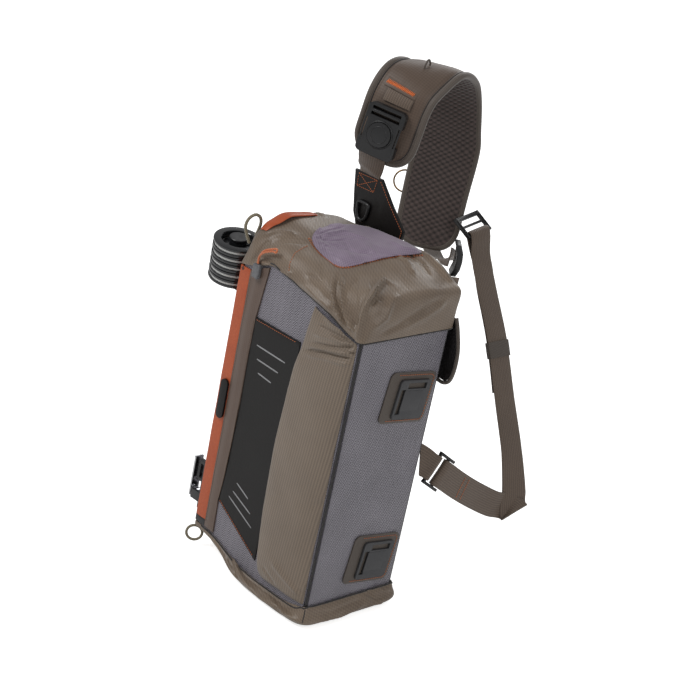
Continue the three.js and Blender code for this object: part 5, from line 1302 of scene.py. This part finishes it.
lock_place = in_frame((-23, 258, 463), (-0.062, 0.983, 0.17), (0.527, -0.113, 0.842))
buckle_place = in_frame((122.4, 115.8, 191.7), (0, 0.548, 0.836), (0.996, -0.07, 0.045))
for side in (-1, 1):
    name = "left" if side < 0 else "right"
    ridge("lock_ridge_" + name, lock_place, 3, 25, side * 22, 2.7)
    ridge("lower_buckle_ridge_" + name, buckle_place, -9, 17, side * 22, 2.7)

SHORT = [
    ((115.5, 93.5, 206.1), (0, 0.548, 0.836), (-0.93, 0.307, -0.201)),
    ((116.9, 101.1, 201.1), (0, 0.548, 0.836), (-0.93, 0.307, -0.201)),
    ((119.2, 103.1, 199.8), (0, 0.548, 0.836), (-0.398, 0.767, -0.503)),
    ((122.4, 103.1, 199.8), (0, 0.548, 0.836), (0.367, 0.778, -0.51)),
    ((124.7, 101.3, 201), (0, 0.548, 0.836), (0.917, 0.333, -0.219)),
    ((124.8, 98.5, 202.8), (0, 0.548, 0.836), (0.93, -0.307, 0.201)),
    ((119.2, 93.2, 206.3), (0, 0.548, 0.836), (0.93, -0.307, 0.201)),
    ((112.4, 80.6, 214.5), (-0.258, 0, 1.196), (0.93, -0.307, 0.201)),
]
seat(strap("lower_webbing_strap", SHORT, 36, spacing=2.5, seed=2), webbing, "webbing", "lower_webbing")

# Webbing on the pad: a short run sewn down under a flap of cloth with an orange bar tack, and
# the strap that comes up to the buckle from the black patch.
PAD_WEBBING = [
    ((-52.5, 76.2, 639.5), (0.893, 0.429, -0.138), (0.45, -0.869, 0.207)),
    ((-52.3, 78.4, 646.7), (0.895, 0.407, -0.18), (0.444, -0.841, 0.309)),
    ((-52.1, 81.4, 653.2), (0.892, 0.394, -0.22), (0.45, -0.807, 0.383)),
]
seat(strap("pad_webbing_strap", PAD_WEBBING, 38, spacing=2.5, seed=3), webbing, "webbing", "pad_webbing")
ANCHOR = [
    ((-79.6, 85.2, 527), (0.998, 0.004, -0.055), (0, -0.998, -0.066)),
    ((-79.2, 85.0, 533), (1, 0.018, -0.018), (0.018, -0.999, -0.036)),
    ((-78.4, 82.9, 538.8), (0.975, 0.083, -0.207), (0.037, -0.966, -0.3)),
    ((-76, 77.3, 544.6), (0.915, 0.255, -0.313), (0.116, -0.909, -0.4)),
    ((-72.2, 73.7, 552.6), (0.902, 0.35, -0.251), (0.184, -0.84, -0.51)),
    ((-67.9, 68.7, 561), (0.879, 0.435, -0.196), (0.231, -0.748, -0.622)),
    ((-63.3, 63.2, 569.3), (0.862, 0.481, -0.158), (0.296, -0.732, -0.614)),
]
seat(strap("anchor_webbing_strap", ANCHOR, 38, spacing=2.5, seed=4), webbing, "webbing", "anchor_webbing")

# Bright orange polyester thread, packed close in a bar tack, glossier than the stitches
bright_thread = woven("bright_polyester_thread", STRANDS, 0xD9662A, 0xF08A48, 0.1, Roughness=0.42)


def crown(w):
    """The height of the pad's face across its width, for what is sewn on it."""
    return 9 - 4.5 * abs(w / 40) ** 3


points, faces = [], []
for k in range(44):
    w = -25 + 40 * k / 43
    s = 88.5 + (1.0 if k % 2 else -1.0) + 0.1 * k / 4
    first = len(points)
    for y in (-2.0, -0.6, 0.6, 2.0):
        high = 0.5 if abs(y) > 1 else 1.1
        for dx, dn in ((-0.42, -0.3), (-0.3, high), (0.3, high), (0.42, -0.3)):
            points.append(on_pad(s + y, w + dx, crown(w) + dn))
    faces += skin_faces(4, 4, first)
seat(new_piece("pad_bar_tack", points, faces), bright_thread, "orange_band")


def flap_top(s, w):
    """The outer face of the hem that covers the webbing's end."""
    return crown(w) + 1.1 + 0.9 * math.exp(-((s - 84.6) / 2.2) ** 2)


HEM_ROWS, HEM_COLUMNS = (83.4, 84.2, 86, 88.5, 92, 95), 21
points = []
for lift in (0.0, -0.9):
    for s in HEM_ROWS:
        for k in range(HEM_COLUMNS):
            w = -27 + 46 * k / (HEM_COLUMNS - 1)
            points.append(on_pad(s, w, max(flap_top(s, w) + lift - (0.9 if s > 94 else 0) - 0.8, crown(w) - 0.9)))
hem = new_piece("pad_webbing_hem", points, sheet_faces(len(HEM_ROWS), HEM_COLUMNS))
shade(hem, 50)
seat(hem, ripstop, "strap_cloth")

ARCH = [(-5, 0), (-4.6, 4), (-2.5, 8.6), (0, 10.2), (2.5, 8.6), (4.6, 4), (5, 0)]
loop_line = [on_pad(135 + y, 0, 8.2 + z) for y, z in ARCH]
seat(tube("pad_top_pull", loop_line, 1.3 * MM, 1.5 * MM, 8), smooth_tape, "webbing", "pad_top_loop")

# Ring: a thin split ring at the far edge of the pad, of bronze-plated steel wire that has
# darkened unevenly and is rubbed bright in patches.
bronze = grained("antique_bronze", 2.0, 4.0, 0x6E5230, 0xA88550, 0.03, Metallic=1.0, Roughness=0.34)
ring_place = in_frame((-123.6, 203.1, 503.8), (0.745, 0.667, -0.022), (-0.663, 0.737, -0.13))
ring_line = [ring_place @ Vector((15 * c, 15 * s, 0.25 * s)) for c, s in circle(24)]
seat(tube("pad_split_ring", ring_line, 1.25 * MM, 2 * MM, 10, closed=True), bronze, "bronze_ring", "pad_ring")

# Black patch: rubberised cloth that rises from the back seam, with a box of orange stitches
# over the end of the strap, a row down its right edge and two welded channels.
patch = solid_copy("strap_patch", "strap_patch_cloth", join=1)
slice_up(patch, 0, 5)
slice_up(patch, 2, 5)
round_edges(patch, 0.9, 3)
places = points_of(patch)
STRAP_PATCH_FACE_Y, WELDS_X, WELD_TOP_Z = 0.0835, (-86, -46), 0.505
front = places[:, 1] < STRAP_PATCH_FACE_Y
slope = (places[:, 2] / MM - 440) * -0.3
for x in WELDS_X:
    weld = np.exp(-((places[:, 0] / MM - x - slope * 0.4) / 2.0) ** 2) * (places[:, 2] < WELD_TOP_Z)
    places[:, 1] += front * 0.8 * MM * weld
places[:, 1] -= front * (0.5 * ripple(places, 22, 61)) * MM
set_points(patch, places)
shade(patch, 50)
seat(patch, rubber_cloth, "dark_panel", "strap_patch", padded=0.3)
patch_skin = tree_of(patch)
PATCH_FRONT, PATCH_BACK = 82, 89
PATCH_ROWS = [
    ("1", PATCH_FRONT, [(-98, 533), (-63, 534.5), (-66, 517), (-97, 516), (-98, 533)]),
    ("2", PATCH_FRONT, [(-98, 533), (-66, 517)]),
    ("3", PATCH_FRONT, [(-97, 516), (-63, 534.5)]),
    ("4", PATCH_FRONT, [(-57, 535), (-32, 510), (-4, 486), (-7, 462), (-9, 444)]),
    ("back", PATCH_BACK, [(-70, 444), (-10, 444), (-6, 485), (-34, 509), (-59, 533.5), (-102, 531.5), (-97, 510),
                          (-90.5, 482), (-70, 444)]),
]
for name, y, row in PATCH_ROWS:
    line = []
    for (x0, z0), (x1, z1) in zip(row, row[1:]):
        line += laid([(x0, y, z0), ((x0 + x1) / 2, y, (z0 + z1) / 2), (x1, y, z1)], patch_skin)
    sew("patch_stitches_" + name, line, 2.6, 0.9, 0.42, lift=0.1)
d_line = [mm(-77 + x * 20 / 24, 80.5, 488 + z * 25 / 30)
          for x, z in ((-9, 13), (9, 13), (12, 8), (9, -9), (0, -15), (-9, -9), (-12, 8))]
seat(tube("patch_d_ring", d_line, 2.1 * MM, 2 * MM, 12, closed=True), moulded_black, "hard_plastic", "d_ring")

# Pad buckle: a moulded side-release buckle with a round button in its middle, a raised rim round
# the button, spring arms at its sides and two slots that the webbing is threaded through.
moulded("pad_buckle", width=1.4, segments=4)
buckle = in_frame((-59.7, 70.2, 603.2), (0.903, 0.411, -0.125), (0.42, -0.906, 0.057))
for name, radius, wire, height in (("rim", 17.2, 1.3, 11.0), ("groove", 10.8, 0.6, 13.3)):
    line = [buckle @ Vector((radius * c, -4 + radius * s, height)) for c, s in circle(48)]
    seat(tube("pad_buckle_" + name, line, wire * MM, 1.5 * MM, 8, closed=True), moulded_black, "hard_plastic")
for side in (-1, 1):
    name = "left" if side < 0 else "right"
    ridge("pad_buckle_arm_" + name, buckle, -30, 28, side * 24.4, 10.6, 2.2)
ridge("pad_buckle_bar", buckle @ Matrix.Rotation(math.radians(90), 4, "Z"), -19, 19, 23, 11.2, 3.0)

# Stabiliser: narrow webbing from the end of the pad to a curved buckle at the top of the back,
# and the short run that sews the buckle to the bag.
STABILISER = [
    ((-61.9, 217.6, 425.3), (0.662, 0.749, -0.016), (0.094, -0.104, -0.99)),
    ((-44.4, 202.1, 428), (0.665, 0.747, -0.007), (0.081, -0.081, -0.993)),
    ((-26, 186, 432), (0.649, 0.761, -0.006), (0.169, -0.152, -0.974)),
    ((-10.5, 173.3, 437.6), (0.624, 0.781, 0), (0.233, -0.186, -0.955)),
    ((6.3, 160, 444.7), (0.62, 0.784, 0.02), (0.272, -0.191, -0.943)),
    ((22.6, 146.5, 452.4), (0.635, 0.771, 0.05), (0.297, -0.183, -0.937)),
    ((38.4, 132.1, 460.3), (0.633, 0.752, 0.184), (0.393, -0.107, -0.913)),
    ((53.6, 116.5, 469.2), (0.45, 0.726, 0.52), (0.625, 0.161, -0.764)),
    ((68.6, 101, 478), (-0.238, 0.288, 0.928), (0.719, 0.694, -0.031)),
]
seat(strap("stabiliser_strap", STABILISER, 25, 1.6, 4, seed=5), webbing, "webbing", "stabiliser_webbing")
STABILISER_ANCHOR = [
    ((92, 85, 428), (0.996, 0.002, 0.09), (0, -1, 0.027)),
    ((91.2, 85, 439.5), (0.997, 0.035, 0.074), (0.035, -0.999, 0.003)),
    ((90, 85.6, 450), (0.982, 0.097, 0.16), (0.069, -0.983, 0.172)),
    ((88.8, 86.8, 454.9), (0.957, 0.201, 0.21), (0.12, -0.93, 0.347)),
    ((87.3, 88.7, 460.1), (0.947, 0.263, 0.186), (0.183, -0.915, 0.36)),
]
seat(strap("stabiliser_anchor_strap", STABILISER_ANCHOR, 25, 1.6, 2.5, seed=6),
     webbing, "webbing", "stabiliser_anchor")
side_buckle = solid_copy("stabiliser_buckle", "stabiliser_buckle_moulding", join=20)
round_edges(side_buckle, 1.6, 3)
shade(side_buckle, 40)
seat(side_buckle, moulded_black, "hard_plastic", "stabiliser_buckle")

# Tippet spools: five gloss black plastic spools on one post, each with a groove full of fine
# clear line and a dished top with a hub. They are turned here from their profiles.
SPOOL_AXIS = Vector((0.106, -0.115, 0.988)).normalized()
SPOOL_TOP = Vector((-154.5, -55, 432))
SPOOL_PITCH, SPOOL_HEIGHT = 11.4, 11.0
spool_turn = SPOOL_AXIS.to_track_quat("Z", "Y").to_matrix().to_4x4()


def turned(name, profile, height, sides=72):
    """A ring turned from a closed profile of (radius, height) in mm about the post."""
    place = Matrix.Translation((SPOOL_TOP + SPOOL_AXIS * height) * MM) @ spool_turn
    points = [place @ mm(radius * c, radius * s, z) for c, s in circle(sides) for radius, z in profile]
    piece = new_piece(name, points, skin_faces(sides, len(profile), closed=True))
    shade(piece, 35)
    return piece


# Glossy black ABS, moulded in a polished tool, with sharp small highlights
gloss_black = grained("gloss_abs", 3.0, 3.0, 0x17181A, 0x26272A, 0.01,
                      Roughness=0.16, Specular_IOR_Level=0.55, Coat_Weight=0.3)
# Clear nylon line wound in close turns: one rib for each turn, near white and glossy
clear_line = woven("wound_nylon_line", [(tuple(SPOOL_AXIS), 0.9, 0.8)], 0xB9BAB8, 0xEDEDEA, 0.15,
                   Roughness=0.22, Specular_IOR_Level=0.6, Coat_Weight=0.4)
SPOOL_PROFILE = [
    (8.4, 0), (8.4, 11), (10.4, 11), (11, 10.4), (11, 2.6), (12, 1.8), (21, 1.8), (22, 2.6), (22.6, 10.2),
    (23.4, 11), (31.8, 11), (32.7, 10.6), (33, 10), (33, 8.2), (32.6, 7.4), (27, 7.4), (27, 3.6), (32.6, 3.6),
    (33, 2.8), (33, 1), (32.7, 0.4), (31.8, 0),
]
LINE_PROFILE = [(27.7, 3.9), (31.0, 3.9)]
LINE_PROFILE += [(31.2 + 0.25 * math.sin(math.pi * k), 3.9 + 3.2 * k / 5) for k in range(6)]
LINE_PROFILE += [(31.0, 7.1), (27.7, 7.1)]
for number in range(1, 6):
    foot = -(number - 1) * SPOOL_PITCH - SPOOL_HEIGHT
    body = f"spool_body_{number}"
    seat(turned(f"spool_{number}_turned", SPOOL_PROFILE, foot), gloss_black, "hard_plastic", f"spool_{number}",
         body=body)
    seat(turned(f"spool_{number}_winding", LINE_PROFILE, foot), clear_line, "fishing_line",
         f"spool_line_{number}", body=body)
    marks, faces = [], []
    place = Matrix.Translation((SPOOL_TOP + SPOOL_AXIS * foot) * MM) @ spool_turn
    for k in range(6):
        turn = Matrix.Rotation(math.pi * k / 3 + 0.4 * number, 4, "Z")
        first = len(marks)
        for x in (12.0, 21.0):
            for y, z in ((-1.1, 1.6), (-1.1, 3.2), (1.1, 3.2), (1.1, 1.6)):
                marks.append(place @ turn @ mm(x, y, z))
        faces += skin_faces(2, 4, first)
    seat(new_piece(f"spool_{number}_ribs", marks, faces), gloss_black, "hard_plastic", body=body)

moulded("spool_holder", width=0.8)
CAP_PROFILE = [(0.05, 0.6), (12, 0.6), (12.5, 1.1), (12.5, 2.6), (11.8, 3.3), (9, 3.5), (4, 3.3), (0.05, 3.2)]
seat(turned("spool_cap_turned", CAP_PROFILE, 0.0), moulded_black, "hard_plastic", "spool_cap")

# Tool clip: a moulded base on the left side, and a lever that turns on its pin. The lever has
# a rolled top and three low ridges to push on.
moulded("clip_base", width=0.6)
# Die-cast zinc under bright chrome, which mirrors the studio
chrome = grained("chromed_zinc", 4.0, 4.0, 0xB6B7BA, 0xDADBDD, 0.01, Metallic=1.0, Roughness=0.12)
moulded("clip_lever", width=0.9, material=chrome, slot="chrome", body="lever_body")
ROLLS = [(-142.2, 123.4, 1.9), (-143.1, 104, 0.8), (-143.1, 109, 0.8), (-143.1, 114, 0.8)]
for number, (x, z, radius) in enumerate(ROLLS, 1):
    line = [mm(x, y, z) for y in (-74.2, -68, -61.8)]
    seat(tube(f"clip_lever_roll_{number}", line, radius * MM, 2 * MM, 12), chrome, "chrome", body="lever_body")

# Pull loops: braided tan cord knotted through the two ends of the band, an orange pull on the
# zip and the clear moulded grip that hangs beside it.

# Braided nylon cord: two sets of slanting strands that cross, tan with dark furrows
braid = woven("braided_nylon_cord", [((1, 0.8, 0), 2.4, 0.5), ((1, -0.8, 0), 2.4, 0.5)],
              0x544C3B, 0x968C74, 0.35, "UV", Roughness=0.6, Sheen_Weight=0.3)
TOP_LOOP = [
    (-114.2, -74.3, 444), (-116.5, -80, 457), (-116.5, -83.5, 468), (-114.5, -81, 478), (-112.5, -73, 482.5),
    (-112.5, -64.5, 478), (-114, -60.5, 468), (-117, -62, 452),
]
top_loop = tube("cord_loop_top_braid", [mm(*p) for p in TOP_LOOP], 2.1 * MM, 1.6 * MM, 12)
seat(top_loop, braid, "cord", "cord_loop_top")
foot_loop = [mm(-117 + 7 * c, -76 + 8.2 * c, 19.5 + 11 * s) for c, s in circle(16)]
seat(tube("cord_loop_foot_braid", foot_loop, 1.9 * MM, 1.6 * MM, 12, closed=True), braid, "cord", "cord_loop_foot")
# The same braid in orange, a little finer and smoother
orange_cord = woven("orange_nylon_cord", [((1, 0.8, 0), 2.2, 0.4), ((1, -0.8, 0), 2.2, 0.4)],
                    0xA8512A, 0xD9804E, 0.25, "UV", Roughness=0.5, Sheen_Weight=0.3)
pull = [(-79, -86.2, 430.6), (-78.5, -87, 440), (-70, -88, 449), (-58, -86, 455)]
loop = [mm(x, y, z) for x, y, z in pull] + [mm(-52, -85.5, 455.5), mm(-52.5, -84, 459.5)]
loop += [mm(x + 0.8, y + 1.2, z + 3.4) for x, y, z in reversed(pull[1:])] + [mm(-81.2, -85.4, 430.6)]
seat(tube("pull_cord_braid", loop, 1.35 * MM, 1.6 * MM, 12), orange_cord, "orange_band", "pull_cord")
# Clear grey polyurethane, cast soft, so that some light passes through the grip
clear_grip = grained("clear_polyurethane", 5.0, 3.0, 0x5E5F62, 0x88898D, 0.05,
                     Roughness=0.22, Transmission_Weight=0.35, IOR=1.49)
moulded("zip_grip", width=2.2, segments=4, material=clear_grip, slot="clear_grip")
